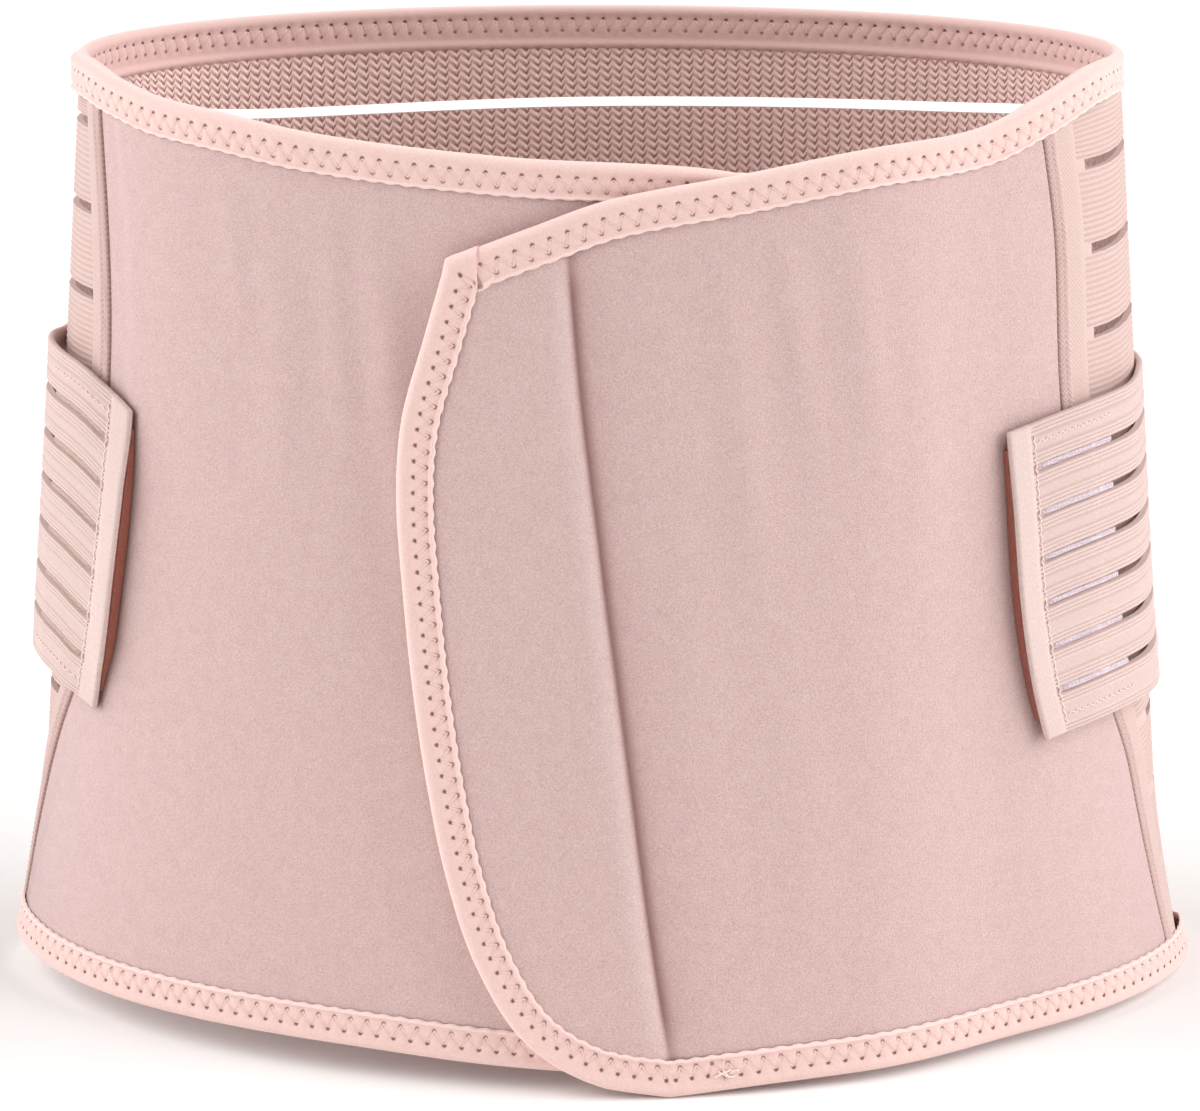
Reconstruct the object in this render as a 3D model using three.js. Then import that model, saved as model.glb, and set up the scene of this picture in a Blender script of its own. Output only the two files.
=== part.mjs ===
// An abdominal binder, closed and standing on its lower hem: two lapped felt front panels, a slotted
// elastic back, twill bands over the joins, two slotted pull straps with hook pads, and folded tape
// round every edge. Millimetres, +Z up, the front towards -Y, the origin under the middle of the box.
//
// Every piece is a thin wall on one body surface. A place on it is an angle in degrees and a height z.
// The angle runs on without a jump from the outer panel's end at the front (about -21), over the right
// side (90), the back (180) and the left side (270) to the inner panel's end under the outer one (384).
import * as THREE from "three";

// The body
const HEIGHT = 263;
const HIP_HALF_WIDTH = 169.8;
const HIP_HALF_DEPTH = 115.6;
const FLARE_HEIGHT = 59; // below this the side swings out towards the hem
const FLARE_CURVE = 1.6;
const HEM_POINT = 0.12; // how much more pointed than an ellipse the front is at the hem

// Thicknesses and clearances
const GAP = 0.5;
const FELT = 2.4;
const ELASTIC = 1.6;
const BAND = 1.0;
const BAND_FACE = -0.2; // offset of the bands' outer face, just under the felt's
const STRAP = 1.6;
const PAD = 1.2;
const TAPE = 0.9;

// Edge tape
const TAPE_WIDTH = 10; // the outer leg
const TAPE_INSIDE = 13; // the inner leg
const TAPE_STEP = 5.5; // degrees between sections round the body
const UPRIGHT_STEPS = 11; // rows up a panel
const END_STEPS = 3 * UPRIGHT_STEPS;
const JOIN = 0.3; // each tape's end stops this far from the line where two meet
const CORNER_REACH = 3; // degrees along the rim that give its direction at the upper corner
const CORNER_DROP = 1.2; // from the end tape's first row down to its second
const TAPE_COLOUR = 0xecc8c0;

// Outer panel
const LAP_ANGLE = 26; // from here on the lap comes down to the body again
const LAP_FADE = 20;
const SEAM_CREST = 0.8;
const SEAM_GROOVE = 0.9;
const SEAM_SPREAD = 9;
const SEAM_FADE = 20; // its relief fades over this length beside the tapes
const NEAR_COLUMNS = [0, 0.3, 0.6, 0.8, 0.92, 1]; // from the end edge to the sewn line
const FAR_COLUMNS = [0.035, 0.08, 0.16, 0.24, 0.32, 0.4, 0.48, 0.56, 0.64, 0.73, 0.82, 0.91, 1];
const INNER_COLUMNS = 22;
const FELT_COLOUR = 0xe4c4bc;

// Back elastic and its slots
const SLOT_COUNT = 10;
const SLOT_PITCH = 23;
const SLOT_OPENING = 3;
const FIRST_SLOT = 28; // from the rim
const BAND_WIDTH = { right: 15, left: 11 };
const ELASTIC_START = 2; // from the felt to the elastic's end, under the band
const SLOT_MARGIN = { right: 20, left: 12.5 }; // from the felt to the ends of the slots
const BACK_COLUMNS = 34;
const HEM_ROW = 0.2; // share of the flare's height at which the elastic has a row of its own
const ELASTIC_COLOUR = 0xeed4cd;
const BAND_COLOUR = 0xe4ccc5;

// Pull straps
const STRAP_SLOTS = 6;
const STRAP_OPENING = 2.5;
const TAB_HEM = 9.5; // from the tab's end to the slots
const PAD_LENGTH = 43;
const PAD_MARGIN = 0.06; // share of the strap's width that the pad leaves bare on each side
const BACK_SEAM = 15; // plain strap beside the centre back
const TAB_RISE = { right: 2.5, left: 6 }; // how far the tab's end stands off the body
const TAB_CURL = 25;
const PAD_START = 1.5; // from the tab's end
const STEP_DOWN = 24; // the strap comes down to the elastic over this length behind the pad
const STRAP_COLUMNS = 20;
const PAD_COLOUR = 0xd2c6cf;

// Half width and half depths of the body at two heights, as shares of their values at the hem.
const WAIST = { width: 0.854, front: 0.839, back: 0.882 };
const FLARE = { width: 0.9423, front: 0.9515, back: 0.9515 };

// Upper edge round the body; level is a share of HEIGHT.
const RIM = [
  { angle: -15.5, level: 0.839 },
  { angle: -7.4, level: 0.87 },
  { angle: 0.8, level: 0.8985 },
  { angle: 14, level: 0.9213 },
  { angle: 28, level: 0.942 },
  { angle: 43, level: 0.951 },
  { angle: 53, level: 0.9734 },
  { angle: 65, level: 0.9975 },
  { angle: 76, level: 1 },
  { angle: 284, level: 1 },
  { angle: 297, level: 0.988 },
  { angle: 306, level: 0.976 },
  { angle: 317, level: 0.967 },
  { angle: 329, level: 0.953 },
  { angle: 351, level: 0.9361 },
  { angle: 370, level: 0.926 },
  { angle: 384, level: 0.901 },
];

// Lower edge round the body; level is a share of HEIGHT.
const HEM = [
  { angle: 7.5, level: 0 },
  { angle: 18, level: 0.0076 },
  { angle: 32, level: 0.0105 },
  { angle: 60, level: 0.0105 },
  { angle: 90, level: 0.0055 },
  { angle: 120, level: 0 },
  { angle: 230, level: 0 },
  { angle: 250, level: 0.019 },
  { angle: 270, level: 0.0335 },
  { angle: 303, level: 0.0304 },
  { angle: 333, level: 0.0304 },
  { angle: 349, level: 0.0228 },
  { angle: 366, level: 0.0165 },
  { angle: 384, level: 0.015 },
];

// End edge of the outer panel, from its upper corner down round the lower corner into the hem.
const OUTER_END = [
  { angle: -15.5, level: 0.839 },
  { angle: -17.8, level: 0.763 },
  { angle: -20.2, level: 0.68 },
  { angle: -20.8, level: 0.6 },
  { angle: -20.2, level: 0.505 },
  { angle: -19.3, level: 0.41 },
  { angle: -17.9, level: 0.31 },
  { angle: -16, level: 0.215 },
  { angle: -13.2, level: 0.132 },
  { angle: -8.6, level: 0.0586 },
  { angle: -2, level: 0.018 },
  { angle: 7.5, level: 0 },
];
const END_TURN = 9; // the row where the lower corner is halfway round

// Edges of the felt at the right and left side, and the sewn line down the outer panel.
const FELT_RIGHT = [
  { level: 0, angle: 75.5 },
  { level: 0.15, angle: 71.8 },
  { level: 0.257, angle: 68.1 },
  { level: 0.34, angle: 63.4 },
  { level: 0.5, angle: 57.4 },
  { level: 0.675, angle: 55.2 },
  { level: 0.83, angle: 55 },
  { level: 0.92, angle: 53.5 },
  { level: 1, angle: 52 },
];
const FELT_LEFT = [
  { level: 0, angle: 271 },
  { level: 0.13, angle: 276 },
  { level: 0.2, angle: 280.5 },
  { level: 0.289, angle: 287.5 },
  { level: 0.36, angle: 292.8 },
  { level: 0.5, angle: 296.6 },
  { level: 0.7, angle: 298 },
  { level: 0.83, angle: 296.4 },
  { level: 1, angle: 291.5 },
];
const SEWN_LINE = [
  { level: 0, angle: 8.4 },
  { level: 0.16, angle: 5.8 },
  { level: 0.36, angle: 2.9 },
  { level: 0.6, angle: -0.7 },
  { level: 0.72, angle: -2.2 },
  { level: 0.95, angle: -4 },
];

// Strap edges; top and bottom are shares of HEIGHT.
const STRAP_ROWS = [
  { angle: 44.5, top: 0.643, bottom: 0.31 },
  { angle: 54, top: 0.657, bottom: 0.322 },
  { angle: 68, top: 0.6654, bottom: 0.3285 },
  { angle: 90, top: 0.669, bottom: 0.3285 },
  { angle: 180, top: 0.676, bottom: 0.335 },
  { angle: 270, top: 0.7, bottom: 0.36 },
  { angle: 288, top: 0.695, bottom: 0.353 },
  { angle: 295.6, top: 0.686, bottom: 0.337 },
  { angle: 302, top: 0.663, bottom: 0.325 },
  { angle: 307.5, top: 0.638, bottom: 0.32 },
];

// End edges of the two tabs; level is a share of the strap's width, from its lower edge.
const TAB_RIGHT = [
  { level: 0, angle: 49.2 },
  { level: 0.2, angle: 47 },
  { level: 0.45, angle: 45.5 },
  { level: 0.8, angle: 45 },
  { level: 1, angle: 45.4 },
];
const TAB_LEFT = [
  { level: 0, angle: 301.2 },
  { level: 0.3, angle: 302.5 },
  { level: 0.62, angle: 304 },
  { level: 1, angle: 306.6 },
];

// How far the slots of the back lie above their level at the centre back, as a share of their pitch.
const SLOT_RISE = [
  { angle: 52, rise: 0.1 },
  { angle: 120, rise: 0 },
  { angle: 225, rise: 0 },
  { angle: 290, rise: 0.46 },
];

const DEGREE = Math.PI / 180;
const LAP_LIFT = FELT + 2 * (TAPE + GAP) + GAP; // outer panel over the inner one and both their tapes
const EDGE_INSET = TAPE + GAP; // from the outside of the fold to the edge of what it holds
const ELASTIC_FACE = BAND_FACE - BAND - GAP; // outer face of the elastic, under the bands
const OUTER_CORNER = OUTER_END[0].angle;
const HEM_START = 10; // first place of the hem after the rounded lower corner
const TAPE_JOIN = 13; // where the tape of the outer end meets the tape of the hem
const INNER_END = 384;
const CENTRE_BACK = 180;
const MIDWAY = 0.5; // up a strap's width

const mix = (a, b, share) => a + (b - a) * share;
const mixPlace = (p, q, share) => ({
  angle: mix(p.angle, q.angle, share),
  z: mix(p.z, q.z, share),
});
const smooth = (from, to, x) => THREE.MathUtils.smoothstep(x, from, to);

// Value on a smooth curve through the rows of a table, where column key has the value x. Each row's
// slope is the slope of the line between its neighbours.
function follow(rows, key, value, x) {
  const last = rows.length - 1;
  const inside = Math.min(Math.max(x, rows[0][key]), rows[last][key]);
  let i = 0;
  while (i < last - 1 && inside > rows[i + 1][key]) i += 1;
  const slope = (k) => {
    const before = rows[Math.max(k - 1, 0)];
    const after = rows[Math.min(k + 1, last)];
    return (after[value] - before[value]) / (after[key] - before[key]);
  };
  const span = rows[i + 1][key] - rows[i][key];
  const u = (inside - rows[i][key]) / span;
  const start = rows[i][value] * (1 - u) ** 2 * (1 + 2 * u);
  const end = rows[i + 1][value] * u ** 2 * (3 - 2 * u);
  return start + end + span * u * (1 - u) * ((1 - u) * slope(i) - u * slope(i + 1));
}

// Share of the size at the hem that the body has at a height: straight to the flare, then curving out.
function girth(key, z) {
  const slope = (FLARE[key] - WAIST[key]) / (1 - FLARE_HEIGHT / HEIGHT);
  const down = 1 - z / HEIGHT;
  const flare = Math.max(0, 1 - z / FLARE_HEIGHT) ** FLARE_CURVE;
  return WAIST[key] + slope * down + (1 - WAIST[key] - slope) * flare;
}

// Point of the body surface, moved outwards by offset along its level normal.
function bodyPoint(place, offset) {
  const turn = place.angle * DEGREE;
  const sine = Math.sin(turn);
  const cosine = Math.cos(turn);
  const power = cosine > 0 ? 1 + HEM_POINT * (1 - place.z / HEIGHT) : 1;
  const a = HIP_HALF_WIDTH * girth("width", place.z);
  const b = HIP_HALF_DEPTH * girth(cosine > 0 ? "front" : "back", place.z);
  const u = Math.sign(sine) * Math.abs(sine) ** power;
  const v = -Math.sign(cosine) * Math.abs(cosine) ** power;
  const bend = 2 / power - 1;
  const normal = new THREE.Vector2(
    (Math.sign(u) * Math.abs(u) ** bend) / a,
    (Math.sign(v) * Math.abs(v) ** bend) / b,
  ).normalize();
  return new THREE.Vector3(a * u + offset * normal.x, b * v + offset * normal.y, place.z);
}

// Millimetres round the body for one degree.
function perDegree(place) {
  const step = 1;
  const before = bodyPoint({ angle: place.angle - step, z: place.z }, 0);
  const after = bodyPoint({ angle: place.angle + step, z: place.z }, 0);
  return before.distanceTo(after) / (2 * step);
}

// Distance round the body from the nearer edge of the felt into the back; negative on the felt.
function pastFelt(place) {
  const level = place.z / HEIGHT;
  const right = place.angle - follow(FELT_RIGHT, "level", "angle", level);
  const left = follow(FELT_LEFT, "level", "angle", level) - place.angle;
  return Math.min(right, left) * perDegree(place);
}

const sideOf = (angle) => (angle < CENTRE_BACK ? "right" : "left");

// How far the outer panel stands off the body surface.
const lapLift = (angle) => LAP_LIFT * (1 - smooth(LAP_ANGLE, LAP_ANGLE + LAP_FADE, angle));

// Outer and inner faces of what the edge tape holds: felt, band over elastic, or elastic alone.
function heldOuter(place) {
  const clear = BAND_WIDTH[sideOf(place.angle)] + TAPE_INSIDE;
  const share = smooth(clear, clear + TAPE_WIDTH, pastFelt(place));
  return lapLift(place.angle) + mix(0, ELASTIC_FACE, share);
}
function heldInner(place) {
  const share = smooth(-TAPE_WIDTH, 0, pastFelt(place));
  return lapLift(place.angle) + mix(-FELT, ELASTIC_FACE - ELASTIC, share);
}

// Closed mesh from vertices and four-sided faces that are given by vertex numbers.
class Skin {
  constructor() {
    this.points = [];
    this.faces = [];
  }
  add(point) {
    this.points.push(point.x, point.y, point.z);
    return this.points.length / 3 - 1;
  }
  quad(a, b, c, d) {
    this.faces.push(a, b, c, a, c, d);
  }
  mesh(name, colour) {
    const geometry = new THREE.BufferGeometry();
    geometry.setAttribute("position", new THREE.Float32BufferAttribute(this.points, 3));
    geometry.setIndex(this.faces);
    geometry.computeVertexNormals();
    const material = new THREE.MeshStandardMaterial({ color: colour, roughness: 0.9, metalness: 0 });
    const mesh = new THREE.Mesh(geometry, material);
    mesh.name = name;
    return mesh;
  }
}

// Wall of cells between an outer and an inner face; columns run round the body and rows upwards.
// place(u, v) gives the spot, faces(place, u, v) its outer and inner offsets, and open(i, j) leaves
// cell i, j out, with side walls round the hole.
function wall(columns, rows, place, faces, open = () => false) {
  const skin = new Skin();
  const outer = [];
  const inner = [];
  for (const u of columns) {
    const spots = rows.map((v) => place(u, v));
    const offsets = spots.map((spot, j) => faces(spot, u, rows[j]));
    outer.push(spots.map((spot, j) => skin.add(bodyPoint(spot, offsets[j][0]))));
    inner.push(spots.map((spot, j) => skin.add(bodyPoint(spot, offsets[j][1]))));
  }
  const across = columns.length - 1;
  const up = rows.length - 1;
  const solid = (i, j) => i >= 0 && j >= 0 && i < across && j < up && !open(i, j);
  const side = (i, j, k, l) => skin.quad(outer[i][j], inner[i][j], inner[k][l], outer[k][l]);
  for (let i = 0; i < across; i += 1) {
    for (let j = 0; j < up; j += 1) {
      if (!solid(i, j)) continue;
      skin.quad(outer[i][j], outer[i + 1][j], outer[i + 1][j + 1], outer[i][j + 1]);
      skin.quad(inner[i][j], inner[i][j + 1], inner[i + 1][j + 1], inner[i + 1][j]);
      if (!solid(i, j - 1)) side(i, j, i + 1, j);
      if (!solid(i + 1, j)) side(i + 1, j, i + 1, j + 1);
      if (!solid(i, j + 1)) side(i + 1, j + 1, i, j + 1);
      if (!solid(i - 1, j)) side(i, j + 1, i, j);
    }
  }
  return skin;
}

const steps = (count) => Array.from({ length: count + 1 }, (_, i) => i / count);

// Unit step to the left of the line from one place to another, in millimetres round and up.
function leftOf(from, to) {
  const round = (to.angle - from.angle) * perDegree(from);
  return new THREE.Vector2(from.z - to.z, round).normalize();
}

const shifted = (place, round, up) => ({
  angle: place.angle + round / perDegree(place),
  z: place.z + up,
});

// Place at a distance to the left of a path, square to it.
function beside(path, i, distance) {
  const left = leftOf(path[Math.max(i - 1, 0)], path[Math.min(i + 1, path.length - 1)]);
  return shifted(path[i], distance * left.x, distance * left.y);
}
const inset = (path, distance) => path.map((place, i) => beside(path, i, distance));

// Where the lines at a distance to the left of the two sides of a corner cross.
function insideCorner(before, corner, after, distance) {
  const first = leftOf(before, corner);
  const second = leftOf(corner, after);
  const length = distance / (1 + first.dot(second));
  return shifted(corner, length * (first.x + second.x), length * (first.y + second.y));
}

const rimPlace = (angle) => ({ angle, z: HEIGHT * follow(RIM, "angle", "level", angle) });
const hemPlace = (angle) => ({
  angle,
  z: HEIGHT * Math.max(0, follow(HEM, "angle", "level", angle)),
});

// Path between two angles along the rim or the hem.
function edgePath(edge, from, to) {
  const count = Math.ceil(Math.abs(to - from) / TAPE_STEP);
  return steps(count).map((share) => edge(mix(from, to, share)));
}

// Path along the outer panel's end edge between two of its rows.
function endPath(from, to, count) {
  const rows = OUTER_END.map((entry, index) => ({ index, ...entry }));
  return steps(count).map((share) => ({
    angle: follow(rows, "index", "angle", mix(from, to, share)),
    z: HEIGHT * Math.max(0, follow(rows, "index", "level", mix(from, to, share))),
  }));
}

// Place on a table of levels and angles, at a share of the way from the hem's tape to the rim's tape.
function uprightPlace(table, share) {
  const angleAt = (z) => follow(table, "level", "angle", z / HEIGHT);
  const foot = hemPlace(angleAt(0)).z + EDGE_INSET;
  const head = rimPlace(angleAt(HEIGHT)).z - EDGE_INSET;
  const z = mix(foot, head, share);
  return { angle: angleAt(z), z };
}
const uprightPath = (table) => steps(UPRIGHT_STEPS).map((share) => uprightPlace(table, share));

// The tapes

// Rows of a tape from the path of its fold: the places of the fold and of both legs' edges.
const tapeRows = (path) =>
  path.map((fold, i) => ({
    fold,
    outer: beside(path, i, TAPE_WIDTH),
    inner: beside(path, i, TAPE_INSIDE),
  }));
const cornerRow = (fold, before, corner, after) => ({
  fold,
  outer: insideCorner(before, corner, after, TAPE_WIDTH),
  inner: insideCorner(before, corner, after, TAPE_INSIDE),
});
const shiftedRow = (row, round, up) => ({
  fold: shifted(row.fold, round, up),
  outer: shifted(row.outer, round, up),
  inner: shifted(row.inner, round, up),
});

// Tape folded over an edge: outer leg, fold and inner leg, swept along its rows.
function tape(rows) {
  const skin = new Skin();
  const rings = rows.map(({ fold, outer, inner }) => {
    const outerGroove = mixPlace(fold, outer, TAPE / TAPE_WIDTH);
    const innerGroove = mixPlace(fold, inner, TAPE / TAPE_INSIDE);
    const over = (spot, height) => skin.add(bodyPoint(spot, heldOuter(spot) + height));
    const under = (spot, depth) => skin.add(bodyPoint(spot, heldInner(spot) - depth));
    return [
      over(outer, GAP + TAPE),
      over(fold, GAP + TAPE),
      under(fold, GAP + TAPE),
      under(inner, GAP + TAPE),
      under(inner, GAP),
      under(innerGroove, GAP),
      over(outerGroove, GAP),
      over(outer, GAP),
    ];
  });
  for (let i = 0; i + 1 < rings.length; i += 1) {
    rings[i].forEach((point, k) => {
      const next = (k + 1) % rings[i].length;
      skin.quad(point, rings[i][next], rings[i + 1][next], rings[i + 1][k]);
    });
  }
  const first = rings[0];
  const last = rings[rings.length - 1];
  for (const [a, b, c, d] of [[0, 1, 6, 7], [1, 2, 5, 6], [2, 3, 4, 5]]) {
    skin.quad(first[d], first[c], first[b], first[a]);
    skin.quad(last[a], last[b], last[c], last[d]);
  }
  return skin;
}

// The four tapes. They run round the binder with what they hold on their left: down the outer end
// and round its lower corner, along the hem, up the inner end, and back along the rim.
function addTapes(group) {
  const outerEnd = endPath(0, OUTER_END.length - 1, END_STEPS);
  const upper = outerEnd[0];
  const beforeUpper = rimPlace(upper.angle + CORNER_REACH);
  const joinAngle = insideCorner(beforeUpper, upper, outerEnd[1], TAPE_WIDTH).angle;
  const upperJoin = cornerRow(rimPlace(joinAngle), beforeUpper, upper, outerEnd[1]);
  const hem = edgePath(hemPlace, TAPE_JOIN, INNER_END);
  const rim = edgePath(rimPlace, INNER_END, joinAngle);
  const innerEnd = steps(UPRIGHT_STEPS).map((share) => mixPlace(hem[hem.length - 1], rim[0], share));

  // At the upper corner the end tape covers the corner, and the rim tape stops beside it.
  const endRows = tapeRows(outerEnd.concat(edgePath(hemPlace, HEM_START, TAPE_JOIN)));
  endRows[0] = { ...shiftedRow(upperJoin, -JOIN, -CORNER_DROP), fold: upper };
  endRows.unshift(shiftedRow(upperJoin, -JOIN, 0));
  endRows[endRows.length - 1] = shiftedRow(endRows[endRows.length - 1], -JOIN, 0);
  const hemRows = tapeRows(hem);
  hemRows[0] = shiftedRow(hemRows[0], JOIN, 0);
  const rimRows = tapeRows(rim);
  rimRows[rimRows.length - 1] = shiftedRow(upperJoin, JOIN, 0);
  const innerRows = tapeRows(innerEnd);

  // The two hidden corners of the inner panel are mitred.
  const lower = cornerRow(innerEnd[0], hem[hem.length - 2], innerEnd[0], innerEnd[1]);
  const top = cornerRow(rim[0], innerEnd[UPRIGHT_STEPS - 1], rim[0], rim[1]);
  hemRows[hemRows.length - 1] = shiftedRow(lower, -JOIN, 0);
  innerRows[0] = shiftedRow(lower, 0, JOIN);
  innerRows[UPRIGHT_STEPS] = shiftedRow(top, 0, -JOIN);
  rimRows[0] = shiftedRow(top, -JOIN, 0);

  group.add(tape(endRows).mesh("outer_end_binding", TAPE_COLOUR));
  group.add(tape(hemRows).mesh("bottom_binding", TAPE_COLOUR));
  group.add(tape(innerRows).mesh("inner_end_binding", TAPE_COLOUR));
  group.add(tape(rimRows).mesh("top_binding", TAPE_COLOUR));
}

// The felt panels

// Place on a path at a share of its length.
function placeOn(path) {
  const lengths = [0];
  for (let i = 1; i < path.length; i += 1) {
    const round = (path[i].angle - path[i - 1].angle) * perDegree(path[i]);
    lengths.push(lengths[i - 1] + Math.hypot(round, path[i].z - path[i - 1].z));
  }
  return (share) => {
    const reach = share * lengths[lengths.length - 1];
    let i = 0;
    while (i < path.length - 2 && reach > lengths[i + 1]) i += 1;
    return mixPlace(path[i], path[i + 1], (reach - lengths[i]) / (lengths[i + 1] - lengths[i]));
  };
}

// Place on a path at a share of its rows.
const rowOn = (path) => (share) => {
  const row = share * (path.length - 1);
  const i = Math.min(Math.floor(row), path.length - 2);
  return mixPlace(path[i], path[i + 1], row - i);
};

// Coons patch: blends the four edges of a region; left and right run up, bottom and top run right.
// The corners are those of the left and right edges.
function patch(left, right, bottom, top) {
  const join = (path, from, to) => placeOn([from, ...path.slice(1, -1), to]);
  const l = rowOn(left);
  const r = rowOn(right);
  const b = join(bottom, left[0], right[0]);
  const t = join(top, left[left.length - 1], right[right.length - 1]);
  const blend = (u, v, key) => {
    const edges = mix(b(u)[key], t(u)[key], v) + mix(l(v)[key], r(v)[key], u);
    return edges - mix(mix(b(0)[key], b(1)[key], u), mix(t(0)[key], t(1)[key], u), v);
  };
  return (u, v) => ({ angle: blend(u, v, "angle"), z: blend(u, v, "z") });
}

// Relief beside the sewn line at a distance to its right: a soft crest before it, a groove on it.
function seamRelief(distance) {
  const crest = Math.exp(-(((distance + SEAM_SPREAD) / SEAM_SPREAD) ** 2));
  const groove = Math.exp(-((distance / (SEAM_SPREAD / 2)) ** 2));
  return SEAM_CREST * crest - SEAM_GROOVE * groove;
}

// The outer panel is two patches side by side, so that a column of cells runs down its sewn line.
function addOuterPanel(group) {
  const end = endPath(END_TURN, 0, END_STEPS);
  const beforeCorner = rimPlace(OUTER_CORNER + CORNER_REACH);
  const corner = insideCorner(beforeCorner, end[END_STEPS], end[END_STEPS - 1], EDGE_INSET);
  const left = [...inset(end, -EDGE_INSET).slice(0, -1), corner];
  const middle = uprightPath(SEWN_LINE);
  const right = uprightPath(FELT_RIGHT);
  const foot = middle[0].angle;
  const head = middle[UPRIGHT_STEPS].angle;
  const lower = endPath(END_TURN, OUTER_END.length - 1, END_STEPS);
  const nearPart = patch(
    left,
    middle,
    inset(lower.concat(middle[0]), EDGE_INSET),
    inset(edgePath(rimPlace, OUTER_CORNER, head), -EDGE_INSET),
  );
  const farPart = patch(
    middle,
    right,
    inset(edgePath(hemPlace, foot, right[0].angle), EDGE_INSET),
    inset(edgePath(rimPlace, head, right[UPRIGHT_STEPS].angle), -EDGE_INSET),
  );
  const columns = [...NEAR_COLUMNS, ...FAR_COLUMNS.map((share) => 1 + share)];
  const place = (u, v) => (u <= 1 ? nearPart(u, v) : farPart(u - 1, v));
  const faces = (spot, u, v) => {
    const line = follow(SEWN_LINE, "level", "angle", spot.z / HEIGHT);
    const fromEnd = Math.min(v, 1 - v) * HEIGHT;
    const fade = smooth(TAPE_WIDTH, TAPE_WIDTH + SEAM_FADE, fromEnd);
    const relief = fade * seamRelief((spot.angle - line) * perDegree(spot));
    const outer = lapLift(spot.angle) + relief;
    return [outer, outer - FELT];
  };
  const skin = wall(columns, steps(UPRIGHT_STEPS), place, faces);
  group.add(skin.mesh("outer_front_panel", FELT_COLOUR));
}

function addInnerPanel(group) {
  const left = uprightPath(FELT_LEFT);
  const hem = edgePath(hemPlace, left[0].angle, INNER_END);
  const rim = edgePath(rimPlace, left[UPRIGHT_STEPS].angle, INNER_END);
  const endLine = steps(UPRIGHT_STEPS).map((share) =>
    mixPlace(hem[hem.length - 1], rim[rim.length - 1], share),
  );
  const right = inset(endLine, EDGE_INSET);
  right[0] = shifted(right[0], 0, EDGE_INSET);
  right[UPRIGHT_STEPS] = shifted(right[UPRIGHT_STEPS], 0, -EDGE_INSET);
  const place = patch(left, right, inset(hem, EDGE_INSET), inset(rim, -EDGE_INSET));
  const skin = wall(steps(INNER_COLUMNS), steps(UPRIGHT_STEPS), place, () => [0, -FELT]);
  group.add(skin.mesh("inner_front_panel", FELT_COLOUR));
}

// The back and the sides

const feltEdge = (side) => (side === "right" ? FELT_RIGHT : FELT_LEFT);
const intoBack = (side, distance) => (side === "right" ? distance : -distance);

// Angle at a distance from the felt into the back, on the right or left side.
function besideFelt(side, z, distance) {
  const angle = follow(feltEdge(side), "level", "angle", z / HEIGHT);
  return shifted({ angle, z }, intoBack(side, distance), 0).angle;
}

// Height between the hem's tape and the rim's tape.
const betweenTapes = (angle, share) =>
  mix(hemPlace(angle).z + EDGE_INSET, rimPlace(angle).z - EDGE_INSET, share);

// Columns are counted 0 to 1 from one end to where the slots start, 1 to 2 along the slots, and 2 to
// 3 to the other end.
function slottedColumns(startSteps, slotSteps, endSteps) {
  const stretch = (count, first) => steps(count).slice(1).map((share) => first + share);
  return [0, ...stretch(startSteps, 0), ...stretch(slotSteps, 1), ...stretch(endSteps, 2)];
}
const betweenMarks = (marks, u) => {
  const i = Math.min(Math.floor(u), marks.length - 2);
  return mix(marks[i], marks[i + 1], u - i);
};

function addBackElastic(group) {
  const levels = [0, FLARE_HEIGHT * HEM_ROW];
  for (let slot = SLOT_COUNT - 1; slot >= 0; slot -= 1) {
    const middle = HEIGHT - FIRST_SLOT - slot * SLOT_PITCH;
    levels.push(middle - SLOT_OPENING / 2, middle + SLOT_OPENING / 2);
  }
  levels.push(HEIGHT);
  const height = (level, angle) => {
    if (level === 0 || level === HEIGHT) return betweenTapes(angle, level / HEIGHT);
    return level + SLOT_PITCH * follow(SLOT_RISE, "angle", "rise", angle);
  };
  const place = (u, level) => {
    const right = height(level, SLOT_RISE[0].angle);
    const left = height(level, SLOT_RISE[SLOT_RISE.length - 1].angle);
    const marks = [
      besideFelt("right", right, ELASTIC_START),
      besideFelt("right", right, SLOT_MARGIN.right),
      besideFelt("left", left, SLOT_MARGIN.left),
      besideFelt("left", left, ELASTIC_START),
    ];
    const angle = betweenMarks(marks, u);
    return { angle, z: height(level, angle) };
  };
  const columns = slottedColumns(2, BACK_COLUMNS, 1);
  const open = (i, j) => j > 0 && j % 2 === 0 && columns[i] >= 1 && columns[i + 1] <= 2;
  const faces = () => [ELASTIC_FACE, ELASTIC_FACE - ELASTIC];
  group.add(wall(columns, levels, place, faces, open).mesh("back_elastic", ELASTIC_COLOUR));
}

function addSideBand(group, side) {
  const columns = side === "right" ? [0, 0.5, 1] : [1, 0.5, 0];
  const place = (u, v) =>
    shifted(uprightPlace(feltEdge(side), v), intoBack(side, mix(GAP, BAND_WIDTH[side], u)), 0);
  const skin = wall(columns, steps(UPRIGHT_STEPS), place, () => [BAND_FACE, BAND_FACE - BAND]);
  group.add(skin.mesh(`side_band_${side}`, BAND_COLOUR));
}

// The pull straps

const tabAngle = (side, v) => follow(side === "right" ? TAB_RIGHT : TAB_LEFT, "level", "angle", v);

// Place on a strap at an angle and a share v of its width.
function strapPlace(angle, v) {
  const bottom = follow(STRAP_ROWS, "angle", "bottom", angle);
  const top = follow(STRAP_ROWS, "angle", "top", angle);
  return { angle, z: HEIGHT * mix(bottom, top, v) };
}

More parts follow.
